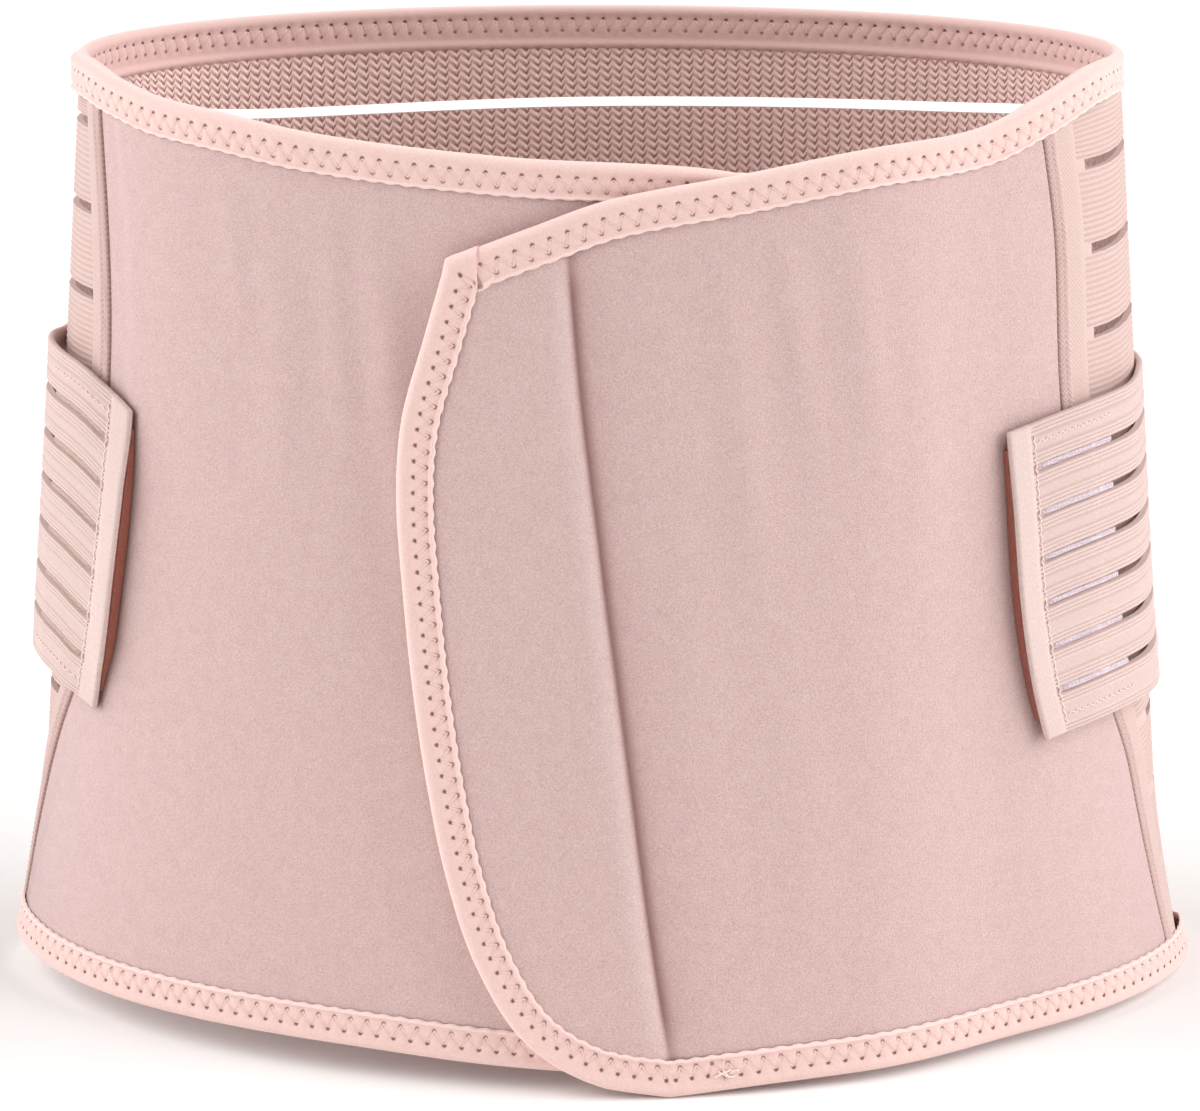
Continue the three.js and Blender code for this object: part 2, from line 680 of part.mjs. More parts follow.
// Place on a strap: u is counted like the columns of the back, from the tab's end to the centre back.
function alongStrap(side, u, v, start = 0) {
  const tab = strapPlace(tabAngle(side, v), v);
  const back = strapPlace(CENTRE_BACK, v);
  const marks = [
    shifted(tab, intoBack(side, start), 0).angle,
    shifted(tab, intoBack(side, TAB_HEM), 0).angle,
    shifted(back, intoBack(side, -BACK_SEAM), 0).angle,
    shifted(back, intoBack(side, -GAP), 0).angle,
  ];
  return strapPlace(betweenMarks(marks, u), v);
}

// Inner face of a strap: flat over the felt and the pad, then down to the elastic, with the tab's
// end curling off the body.
function strapInner(side, place, v) {
  const distance = Math.abs(place.angle - tabAngle(side, v)) * perDegree(place);
  const down = smooth(PAD_LENGTH, PAD_LENGTH + STEP_DOWN, distance);
  const curl = TAB_RISE[side] * Math.max(0, 1 - distance / TAB_CURL) ** 2;
  return mix(PAD + 2 * GAP, ELASTIC_FACE + GAP, down) + curl;
}

// Rows of a strap: its two edges, and the two sides of each slot.
function strapRows() {
  const width = strapPlace(CENTRE_BACK, 1).z - strapPlace(CENTRE_BACK, 0).z;
  const rows = [0];
  for (let slot = 1; slot <= STRAP_SLOTS; slot += 1) {
    const middle = slot / (STRAP_SLOTS + 1);
    rows.push(middle - STRAP_OPENING / width / 2, middle + STRAP_OPENING / width / 2);
  }
  return [...rows, 1];
}

function addStrap(group, side) {
  const columns = slottedColumns(1, STRAP_COLUMNS, 1);
  if (side === "left") columns.reverse();
  const faces = (spot, u, v) => {
    const inner = strapInner(side, spot, v);
    return [inner + STRAP, inner];
  };
  const slotted = (u) => u >= 1 && u <= 2;
  const open = (i, j) => j % 2 === 1 && slotted(columns[i]) && slotted(columns[i + 1]);
  const skin = wall(columns, strapRows(), (u, v) => alongStrap(side, u, v), faces, open);
  group.add(skin.mesh(`pull_strap_${side}`, ELASTIC_COLOUR));
}

// The pad has the strap's own columns and rows, as far as it reaches.
function addHookPad(group, side) {
  const tab = alongStrap(side, 1, MIDWAY);
  const back = alongStrap(side, 2, MIDWAY);
  const step = (Math.abs(back.angle - tab.angle) * perDegree(tab)) / STRAP_COLUMNS;
  const count = Math.max(1, Math.floor((PAD_LENGTH - TAB_HEM) / step));
  const columns = [0, ...steps(count).map((share) => 1 + (share * count) / STRAP_COLUMNS)];
  if (side === "left") columns.reverse();
  const rows = [PAD_MARGIN, ...strapRows().slice(1, -1), 1 - PAD_MARGIN];
  const faces = (spot, u, v) => {
    const outer = strapInner(side, spot, v) - GAP;
    return [outer, outer - PAD];
  };
  const skin = wall(columns, rows, (u, v) => alongStrap(side, u, v, PAD_START), faces);
  group.add(skin.mesh(`hook_pad_${side}`, PAD_COLOUR));
}

const binder = new THREE.Group();
addOuterPanel(binder);
addInnerPanel(binder);
addBackElastic(binder);
for (const side of ["right", "left"]) {
  addSideBand(binder, side);
  addStrap(binder, side);
  addHookPad(binder, side);
}
addTapes(binder);

const box = new THREE.Box3().setFromObject(binder);
const middle = box.getCenter(new THREE.Vector3());
binder.position.set(-middle.x, -middle.y, -box.min.z);

export default new THREE.Group().add(binder);
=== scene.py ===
"""Looks of an abdominal binder that stands closed on its hem.

Lengths are millimetres up to make_piece, which writes metres. A place on the cloth is an angle in
degrees round the body and a height above the floor. The angle runs on without a jump from the outer
panel's end at the front (about -21), over the right side (90), the back (180) and the left side (270)
to the inner panel's end under the outer one (384).
"""

import math

import bpy
import numpy as np
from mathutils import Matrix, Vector


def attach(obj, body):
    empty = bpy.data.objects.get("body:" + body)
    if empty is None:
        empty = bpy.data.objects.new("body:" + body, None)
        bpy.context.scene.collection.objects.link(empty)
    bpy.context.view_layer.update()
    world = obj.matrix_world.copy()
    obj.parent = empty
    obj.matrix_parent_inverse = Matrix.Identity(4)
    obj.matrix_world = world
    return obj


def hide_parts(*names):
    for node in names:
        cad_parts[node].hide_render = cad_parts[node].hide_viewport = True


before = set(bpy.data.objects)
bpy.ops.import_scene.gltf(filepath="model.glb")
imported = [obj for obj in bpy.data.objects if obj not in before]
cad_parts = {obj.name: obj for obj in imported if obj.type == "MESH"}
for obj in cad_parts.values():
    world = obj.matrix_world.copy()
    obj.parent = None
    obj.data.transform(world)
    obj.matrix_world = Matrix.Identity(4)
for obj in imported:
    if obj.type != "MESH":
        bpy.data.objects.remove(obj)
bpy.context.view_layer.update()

# The body's axis from the middle of the frame's box
AXIS = (-0.778, 3.577)

# Sizes of the body and of the cloths, as in the frame
HEIGHT = 263.0
HIP_HALF_WIDTH = 169.8
HIP_HALF_DEPTH = 115.6
FLARE_HEIGHT = 59.0
FLARE_CURVE = 1.6
HEM_POINT = 0.12
WAIST = {"width": 0.854, "front": 0.839, "back": 0.882}
FLARE = {"width": 0.9423, "front": 0.9515, "back": 0.9515}
GAP = 0.5
FELT = 2.4
ELASTIC = 1.6
BAND = 1.0
STRAP = 1.6
PAD = 1.2
TAPE = 0.9
TAPE_WIDTH = 10.0
TAPE_INSIDE = 13.0
BAND_FACE = -0.2
ELASTIC_FACE = BAND_FACE - BAND - GAP
LAP_LIFT = FELT + 2 * (TAPE + GAP) + GAP
LAP_ANGLE = 26.0
LAP_FADE = 20.0
EDGE_INSET = TAPE + GAP
TAPE_JOIN = 13.0
INNER_END = 384.0
CENTRE_BACK = 180.0
CORNER_REACH = 3.0
INTO = {"right": 1, "left": -1}  # which way the angle grows from the felt into the back
BAND_WIDTH = {"right": 15.0, "left": 11.0}
ELASTIC_START = 2.0
SLOT_MARGIN = {"right": 20.0, "left": 12.5}
SLOT_COUNT = 10
SLOT_PITCH = 23.0
SLOT_OPENING = 3.0
FIRST_SLOT = 28.0
STRAP_SLOTS = 6
STRAP_OPENING = 2.5
TAB_HEM = 9.5
PAD_LENGTH = 43.0
PAD_MARGIN = 0.06
PAD_START = 0.3
BACK_SEAM = 15.0
TAB_RISE = {"right": 1.1, "left": 1.5}
TAB_CURL = 25.0
CORNER_HEIGHT = {"right": 1.9, "left": 0.5}  # of a tab's corners over the felt
STEP_DOWN = 24.0

# Needle work
STITCH_PITCH = 4.7
STITCH_ROWS = 6  # grid rows in each stitch
STITCH_LEAN = 2  # grid rows from an upper needle hole to the lower one
UPPER_HOLE = 4.2  # from the fold
LOWER_HOLE = 7.6
END_HOLES = (5.0, 8.0)  # on the end tape
END_PITCH = 4.2
THREAD = 0.52
THREAD_LIFT = 0.5
# Arches of a thread between two needle holes: share of the way, height over the thread's lift
TAPE_ARCH = [(0.0, -0.4), (0.16, 0.02), (0.5, 0.08), (0.84, 0.02), (1.0, -0.4)]
STRAP_ARCH = [(0.0, -0.3), (0.2, 0.12), (0.5, 0.2), (0.8, 0.12), (1.0, -0.3)]
STRAP_THREAD = 0.36
STRAP_THREAD_LIFT = 0.2
TACK_THREAD = 0.5
VALLEY = (0.16, 1.1)  # depth and width of the tape's valley under a thread
PIT = (0.3, 0.9)  # the same of the pit at a needle hole
RIB_PITCH = SLOT_PITCH / 14
KNIT_COLUMN = 3.55
KNIT_ROW = 2.35

# Upper and lower edge round the body: angle, share of HEIGHT
RIM = [
    (-15.5, 0.839), (-7.4, 0.87), (0.8, 0.8985), (14, 0.9213), (28, 0.942), (43, 0.951),
    (53, 0.9734), (65, 0.9975), (76, 1), (284, 1), (297, 0.988), (306, 0.976), (317, 0.967),
    (329, 0.953), (351, 0.9361), (370, 0.926), (384, 0.901),
]
HEM = [
    (7.5, 0), (18, 0.0076), (32, 0.0105), (60, 0.0105), (90, 0.0055), (120, 0), (230, 0),
    (250, 0.019), (270, 0.0335), (303, 0.0304), (333, 0.0304), (349, 0.0228), (366, 0.0165),
    (384, 0.015),
]
# End edge of the outer panel, from its upper corner down and round the lower one: angle, share of HEIGHT
OUTER_END = [
    (-15.5, 0.839), (-17.8, 0.763), (-20.2, 0.68), (-20.8, 0.6), (-20.2, 0.505), (-19.3, 0.41),
    (-17.9, 0.31), (-16, 0.215), (-13.2, 0.132), (-8.6, 0.0586), (-2, 0.018), (7.5, 0),
]
END_TURN = 9
# Edges of the felt and the sewn line: share of HEIGHT, angle
FELT_EDGE = {
    "right": [
        (0, 75.5), (0.15, 71.8), (0.257, 68.1), (0.34, 63.4), (0.5, 57.4), (0.675, 55.2), (0.83, 55),
        (0.92, 53.5), (1, 52),
    ],
    "left": [
        (0, 271), (0.13, 276), (0.2, 280.5), (0.289, 287.5), (0.36, 292.8), (0.5, 296.6), (0.7, 298),
        (0.83, 296.4), (1, 291.5),
    ],
}
SEWN_LINE = [(0, 8.4), (0.16, 5.8), (0.36, 2.9), (0.6, -0.7), (0.72, -2.2), (0.95, -4)]
# Strap edges: angle, top and bottom as shares of HEIGHT
STRAP_ROWS = [
    (44.5, 0.643, 0.31), (54, 0.657, 0.322), (68, 0.6654, 0.3285), (90, 0.669, 0.3285),
    (180, 0.676, 0.335), (270, 0.7, 0.36), (288, 0.695, 0.353), (295.6, 0.686, 0.337),
    (302, 0.663, 0.325), (307.5, 0.638, 0.32),
]
# End edges of the tabs: share of the strap's width, angle
TAB_ENDS = {
    "right": [(0, 50), (0.2, 47.9), (0.45, 46.4), (0.8, 45.6), (1, 45.2)],
    "left": [
        (0, 298.6), (0.1, 299.9), (0.2, 301.3), (0.3, 302.1), (0.62, 303.7), (0.8, 304.3), (0.9, 304.3),
        (1, 304.1),
    ],
}
SLOT_RISE = [
    (52, 0.07), (72, 0.07), (100, 0.25), (140, 0.05), (180, -0.03), (225, -0.02), (258, 0.4),
    (272, 0.46), (290, 0.46),
]

# Soft wrinkles of the felt: angle and height at the upper and at the lower end, width, height
WRINKLES = [
    (336, 236, 341, 120, 7, 0.5), (331, 240, 333, 165, 5, 0.35), (345, 226, 352, 90, 9, 0.4),
    (325, 225, 326, 140, 8, 0.35), (318, 238, 321, 190, 5, 0.25), (339, 110, 345, 30, 9, 0.35),
    (12, 226, 17, 120, 8, 0.55), (18, 232, 22, 165, 5, 0.4), (25, 236, 30, 150, 7, 0.35),
    (6, 215, 11, 60, 10, 0.35), (33, 215, 35, 110, 9, 0.3), (20, 110, 22, 25, 10, 0.3),
]


def mix(start, end, share):
    """start + (end - start) share."""
    return start + (end - start) * share


def smooth(start, end, x):
    """0 before start, 1 after end, and 3t^2 - 2t^3 between them."""
    t = np.clip((x - start) / (end - start), 0, 1)
    return t * t * (3 - 2 * t)


def follow(rows, x, column=1):
    """Values at x on cubic Hermite pieces through a table's rows; the slope at a row is that of the
    line between its neighbours."""
    table = np.array(rows, float)
    at, value = table[:, 0], table[:, column]
    x = np.clip(x, at[0], at[-1])
    row = np.clip(np.searchsorted(at, x) - 1, 0, len(at) - 2)
    before = np.maximum(np.arange(len(at)) - 1, 0)
    after = np.minimum(np.arange(len(at)) + 1, len(at) - 1)
    slope = (value[after] - value[before]) / (at[after] - at[before])
    span = at[row + 1] - at[row]
    part = (x - at[row]) / span
    start = value[row] * (1 - part) ** 2 * (1 + 2 * part)
    end = value[row + 1] * part**2 * (3 - 2 * part)
    return start + end + span * part * (1 - part) * ((1 - part) * slope[row] - part * slope[row + 1])


def girth(key, z):
    """Share of the hem's size at a height: a straight taper, and a power curve below FLARE_HEIGHT."""
    slope = (FLARE[key] - WAIST[key]) / (1 - FLARE_HEIGHT / HEIGHT)
    flare = np.maximum(0, 1 - z / FLARE_HEIGHT) ** FLARE_CURVE
    return WAIST[key] + slope * (1 - z / HEIGHT) + (1 - WAIST[key] - slope) * flare


def on_body(angle, z, offset=0.0):
    """Points of a level section with half axes a and b, (a sin^p, -b cos^p), where p grows towards the
    hem at the front, moved outwards along the section's normal."""
    turn = np.radians(angle)
    sine, cosine = np.sin(turn), np.cos(turn)
    front = cosine > 0
    power = np.where(front, 1 + HEM_POINT * (1 - z / HEIGHT), 1.0)
    axis_a = HIP_HALF_WIDTH * girth("width", z)
    axis_b = HIP_HALF_DEPTH * np.where(front, girth("front", z), girth("back", z))
    right = np.sign(sine) * np.abs(sine) ** power
    back = -np.sign(cosine) * np.abs(cosine) ** power
    out_x = np.sign(right) * np.abs(right) ** (2 / power - 1) / axis_a
    out_y = np.sign(back) * np.abs(back) ** (2 / power - 1) / axis_b
    size = np.hypot(out_x, out_y)
    x = axis_a * right + offset * out_x / size + AXIS[0]
    y = axis_b * back + offset * out_y / size + AXIS[1]
    return np.stack([x, y, z + 0 * x], -1)


def per_degree(angle, z):
    """Millimetres round the body for one degree."""
    return np.linalg.norm(on_body(angle + 1, z) - on_body(angle - 1, z), axis=-1) / 2


def past_felt(angle, z):
    """Distance round the body from the nearer edge of the felt into the back; negative on the felt."""
    right = angle - follow(FELT_EDGE["right"], z / HEIGHT)
    left = follow(FELT_EDGE["left"], z / HEIGHT) - angle
    return np.minimum(right, left) * per_degree(angle, z)


def lap_lift(angle):
    """How far the outer panel lies off the body over the inner one, fading out past LAP_ANGLE."""
    return LAP_LIFT * (1 - smooth(LAP_ANGLE, LAP_ANGLE + LAP_FADE, angle))


def held_outer(angle, z):
    """Outer face of what the tape holds: felt, band over elastic, or elastic alone."""
    band = np.where(angle < CENTRE_BACK, BAND_WIDTH["right"], BAND_WIDTH["left"])
    clear = band + TAPE_INSIDE
    share = smooth(0, TAPE_WIDTH, past_felt(angle, z) - clear)
    return lap_lift(angle) + ELASTIC_FACE * share


def held_inner(angle, z):
    """Inner face of what the tape holds: the felt's, then within a tape's width the elastic's."""
    share = smooth(-TAPE_WIDTH, 0, past_felt(angle, z))
    return lap_lift(angle) + mix(-FELT, ELASTIC_FACE - ELASTIC, share)


def rim_places(angle):
    """Places on the upper edge."""
    return np.stack([angle, HEIGHT * follow(RIM, angle)], -1)


def hem_places(angle):
    """Places on the lower edge."""
    return np.stack([angle, HEIGHT * np.maximum(0, follow(HEM, angle))], -1)


def end_places(row):
    """Places on the outer panel's end edge, counted in rows of its table."""
    table = np.column_stack([np.arange(len(OUTER_END)), OUTER_END])
    return np.stack([follow(table, row), HEIGHT * np.maximum(0, follow(table, row, 2))], -1)


def shifted(places, right, up):
    """Places moved by millimetres round the body and up."""
    turn = right / per_degree(places[..., 0], places[..., 1])
    return np.stack(np.broadcast_arrays(places[..., 0] + turn, places[..., 1] + up), -1)


def lengths(path):
    """Distance along a path of places at each of them."""
    points = on_body(path[:, 0], path[:, 1])
    steps = np.linalg.norm(np.diff(points, axis=0), axis=1)
    return np.concatenate([[0], np.cumsum(steps)])


def picked(path, where, at=None):
    """Places between a path's own, by their number or by the value that each has in at."""
    at = np.arange(len(path)) if at is None else at
    return np.stack([np.interp(where, at, path[:, k]) for k in (0, 1)], -1)


def along_path(path, share):
    """Places on a path at shares of its length."""
    at = lengths(path)
    return picked(path, share * at[-1], at)


def beside(path, distance):
    """Places at a distance to the left of a path, square to it."""
    step = np.gradient(path, axis=0)
    right = step[:, 0] * per_degree(path[:, 0], path[:, 1])
    size = np.hypot(right, step[:, 1])
    return shifted(path, -distance * step[:, 1] / size, distance * right / size)


def inside_corner(before, corner, after, distance):
    """Where the lines at a distance to the left of a corner's two sides cross."""
    sides = []
    for start, end in ((before, corner), (corner, after)):
        right = (end[0] - start[0]) * per_degree(*corner)
        left = np.array([start[1] - end[1], right])
        sides.append(left / np.linalg.norm(left))
    size = distance / (1 + sides[0] @ sides[1])
    return shifted(corner, *(size * (sides[0] + sides[1])))


def upright(table, share):
    """Places on a table of heights and angles, from the hem's tape to the rim's tape."""
    foot = hem_places(follow(table, 0))[1] + EDGE_INSET
    head = rim_places(follow(table, 1))[1] - EDGE_INSET
    z = mix(foot, head, share)
    return np.stack([follow(table, z / HEIGHT), z], -1)


# Meshes


def make_piece(name, points, faces, finishes, nodes=(), cloth=None, finish_of=None, shade=None):
    """A mesh from arrays: points in millimetres, lists of faces with as many corners each, each
    point's place on the flat cloth as its UV, and the number of each face's finish."""
    corners = np.concatenate([group.ravel() for group in faces])
    sides = np.concatenate([np.full(len(group), group.shape[1]) for group in faces])
    mesh = bpy.data.meshes.new(name)
    mesh.vertices.add(len(points))
    mesh.vertices.foreach_set("co", (points / 1000).astype(np.float32).ravel())
    mesh.loops.add(len(corners))
    mesh.loops.foreach_set("vertex_index", corners.astype(np.int32))
    mesh.polygons.add(len(sides))
    mesh.polygons.foreach_set("loop_start", (np.cumsum(sides) - sides).astype(np.int32))
    if finish_of is not None:
        mesh.polygons.foreach_set("material_index", finish_of.astype(np.int32))
    mesh.update(calc_edges=True)
    mesh.polygons.foreach_set("use_smooth", np.ones(len(sides), bool))
    mesh.set_sharp_from_angle(angle=math.radians(60))
    if cloth is not None:
        layer = mesh.uv_layers.new(name="cloth")
        layer.data.foreach_set("uv", cloth[corners].astype(np.float32).ravel())
    if shade is not None:
        layer = mesh.attributes.new("shade", "FLOAT", "POINT")
        layer.data.foreach_set("value", shade.astype(np.float32).ravel())
    for finish in finishes:
        mesh.materials.append(finish)
    piece = bpy.data.objects.new(name, mesh)
    bpy.context.scene.collection.objects.link(piece)
    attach(piece, "root")
    if nodes:
        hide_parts(*nodes)
    return piece


def make_wall(
    name, grids, cloth, finishes, node, shade=None, solid=None, edge_finish=0, inner_finish=1
):
    """A closed wall between an outer and an inner grid whose first index runs round the body and whose
    second runs up; cells that aren't solid are left out, with side walls round them. The outer face
    has finish 0, and shade holds the outer and the inner face's."""
    outer, inner = grids
    number = np.arange(outer.shape[0] * outer.shape[1]).reshape(outer.shape[:2])
    if solid is None:
        solid = np.ones((outer.shape[0] - 1, outer.shape[1] - 1), bool)
    around = np.pad(solid, 1)
    low, next_low, next_high, high = number[:-1, :-1], number[1:, :-1], number[1:, 1:], number[:-1, 1:]
    back = number.size
    faces = [
        np.stack([low, next_low, next_high, high], -1)[solid],
        np.stack([low, high, next_high, next_low], -1)[solid] + back,
    ]
    for start, end, beyond in (
        (low, next_low, around[1:-1, :-2]),
        (next_low, next_high, around[2:, 1:-1]),
        (next_high, high, around[1:-1, 2:]),
        (high, low, around[:-2, 1:-1]),
    ):
        rim = solid & ~beyond
        faces.append(np.stack([start, start + back, end + back, end], -1)[rim])
    finish_of = np.zeros(sum(map(len, faces)), int)
    finish_of[len(faces[0]) : 2 * len(faces[0])] = inner_finish
    finish_of[2 * len(faces[0]) :] = edge_finish
    if shade is not None:
        shade = np.concatenate([np.broadcast_to(part, number.shape).ravel() for part in shade])
    points = np.concatenate([outer.reshape(-1, 3), inner.reshape(-1, 3)])
    cloth = np.concatenate([cloth, cloth])
    return make_piece(name, points, [np.concatenate(faces)], finishes, [node], cloth, finish_of, shade)


def cell_areas(grid):
    """Area of each cell of a grid of points."""
    across = grid[1:, 1:] - grid[:-1, :-1]
    other = grid[:-1, 1:] - grid[1:, :-1]
    return np.linalg.norm(np.cross(across, other), axis=-1) / 2


def declare_cloth(piece, grid, solid=None):
    """Prints the flat size of a sheet, the greatest length each way of its grid, and its flat area, that
    of its cells."""
    width = np.linalg.norm(np.diff(grid, axis=0), axis=-1).sum(0).max() / 1000
    length = np.linalg.norm(np.diff(grid, axis=1), axis=-1).sum(1).max() / 1000
    areas = cell_areas(grid)
    area = float(areas.sum() if solid is None else areas[solid].sum()) / 1e6
    area = min(area, width * length)
    print(f"{piece.name}: flat {width * 1000:.0f} x {length * 1000:.0f} mm, area {area:.4f} m2")


def grid_cloth(angle, z, start=CENTRE_BACK):
    """Flat place of each point of a grid of places: millimetres round from a start angle, and height."""
    reach = np.linspace(0, 1, 9)
    turn = angle[..., None] - start
    pace = per_degree(start + turn * reach, z[..., None]).mean(-1)
    return np.stack([turn[..., 0] * pace, z + 0 * angle], -1).reshape(-1, 2)


def tubes(paths, outward, radius):
    """Points and faces of six-sided tubes along many short paths at once; a ring is the path's point
    plus the radius times (cos t outward + sin t sideways), and both ends are closed."""
    count, steps = paths.shape[:2]
    ahead = np.gradient(paths, axis=1)
    side = np.cross(ahead, outward)
    side /= np.linalg.norm(side, axis=-1, keepdims=True)
    over = np.cross(side, ahead)
    over /= np.linalg.norm(over, axis=-1, keepdims=True)
    turn = np.arange(6) * math.pi / 3
    ring = np.cos(turn)[:, None] * over[:, :, None] + np.sin(turn)[:, None] * side[:, :, None]
    points = (paths[:, :, None] + radius * ring).reshape(-1, 3)
    number = np.arange(count * steps * 6).reshape(count, steps, 6)
    near, far = number[:, :-1], number[:, 1:]
    around = np.stack([near, np.roll(near, -1, 2), np.roll(far, -1, 2), far], -1).reshape(-1, 4)
    first, last = number[:, 0], number[:, -1]
    caps = [first[:, [3, 2, 1, 0]], first[:, [5, 4, 3, 0]], last[:, [0, 1, 2, 3]], last[:, [0, 3, 4, 5]]]
    return points, [np.concatenate([around] + caps)]


# Finishes


def linear(code):
    """Linear colour of an sRGB hex value."""
    shares = [int(code[i : i + 2], 16) / 255 for i in (1, 3, 5)]
    values = [c / 12.92 if c <= 0.04045 else ((c + 0.055) / 1.055) ** 2.4 for c in shares]
    return (*values, 1.0)


def add(tree, kind, sockets=None, output=0, **settings):
    """Adds a shader node and gives one of its outputs, or the node itself if output is None. Settings
    are its own properties, and sockets gives an input by name or number a value or another output."""
    made = tree.nodes.new("ShaderNode" + kind)
    for name, value in settings.items():
        setattr(made, name, value)
    for socket, value in (sockets or {}).items():
        if isinstance(value, bpy.types.NodeSocket):
            tree.links.new(value, made.inputs[socket])
        else:
            made.inputs[socket].default_value = value
    return made if output is None else made.outputs[output]


def new_finish(name):
    """An empty material and its node tree."""
    finish = bpy.data.materials.new(name)
    finish.use_nodes = True
    finish.node_tree.nodes.clear()
    return finish, finish.node_tree


def hollows(tree, colour, dark, share):
    """Painted shade: a colour darkened where the mesh's shade attribute is high, colour + (dark - colour)
    share shade.
    """
    shade = add(tree, "Attribute", output="Fac", attribute_name="shade")
    depth = add(tree, "Math", {0: shade, 1: share}, operation="MULTIPLY", use_clamp=True)
    return add(tree, "Mix", {"Factor": depth, 6: colour, 7: linear(dark)}, 2, data_type="RGBA")


def finish_off(tree, colour, height, relief, roughness=0.92, sheen=0.25, sheen_roughness=0.5):
    """Principled cloth shader over a colour, with a height times relief, in millimetres, as its bump."""
    bump = add(tree, "Bump", {"Height": height, "Distance": relief / 1000, "Strength": 1.0})
    sockets = {
        "Base Color": colour,
        "Roughness": roughness,
        "Specular IOR Level": 0.25,
        "Sheen Weight": sheen,
        "Sheen Roughness": sheen_roughness,
        "Sheen Tint": linear("#fdeef3"),
        "Normal": bump,
    }
    add(tree, "OutputMaterial", {"Surface": add(tree, "BsdfPrincipled", sockets)}, None)


def brushed_felt():
    """Loop felt, brushed: short fibres that stand every way give a fine low mottle about half a
    millimetre across and no gloss, and it looks paler at a slant. Where the shade attribute is above 0 the
    colour gets painted shade, and where it is below 0, on a crest, a painted highlight."""
    finish, tree = new_finish("brushed_loop_felt")
    place = add(tree, "TexCoord", output="Object")
    fibre = add(tree, "TexNoise", {"Vector": place, "Scale": 2500.0, "Detail": 2.0, "Roughness": 0.6})
    patch = add(tree, "TexNoise", {"Vector": place, "Scale": 260.0, "Detail": 3.0, "Roughness": 0.6})
    fine = add(tree, "Math", {0: fibre, 1: 0.85}, operation="MULTIPLY")
    pile = add(tree, "Math", {0: patch, 1: 0.15, 2: fine}, operation="MULTIPLY_ADD")
    tone = add(tree, "ValToRGB", {"Fac": pile}, None)
    for element, place_on, code in zip(tone.color_ramp.elements, (0.37, 0.63), ("#c4a4a0", "#d9beba")):
        element.position = place_on
        element.color = linear(code)
    # Painted shade: towards #8d6660 where the shade attribute is high, in the sewn groove and under the left
    # tab
    pressed = hollows(tree, tone.outputs["Color"], "#8d6660", 0.78)
    shade = add(tree, "Attribute", output="Fac", attribute_name="shade")
    # Painted highlight: towards #f8ece9 where the shade attribute is below 0, on the crest left of the sewn
    # line
    raised = add(tree, "Math", {0: shade, 1: -0.8}, operation="MULTIPLY", use_clamp=True)
    sockets = {"Factor": raised, 6: pressed, 7: linear("#f8ece9")}
    colour = add(tree, "Mix", sockets, 2, data_type="RGBA")
    finish_off(tree, colour, pile, 0.28, 0.97, 1.0, 0.36)
    return finish


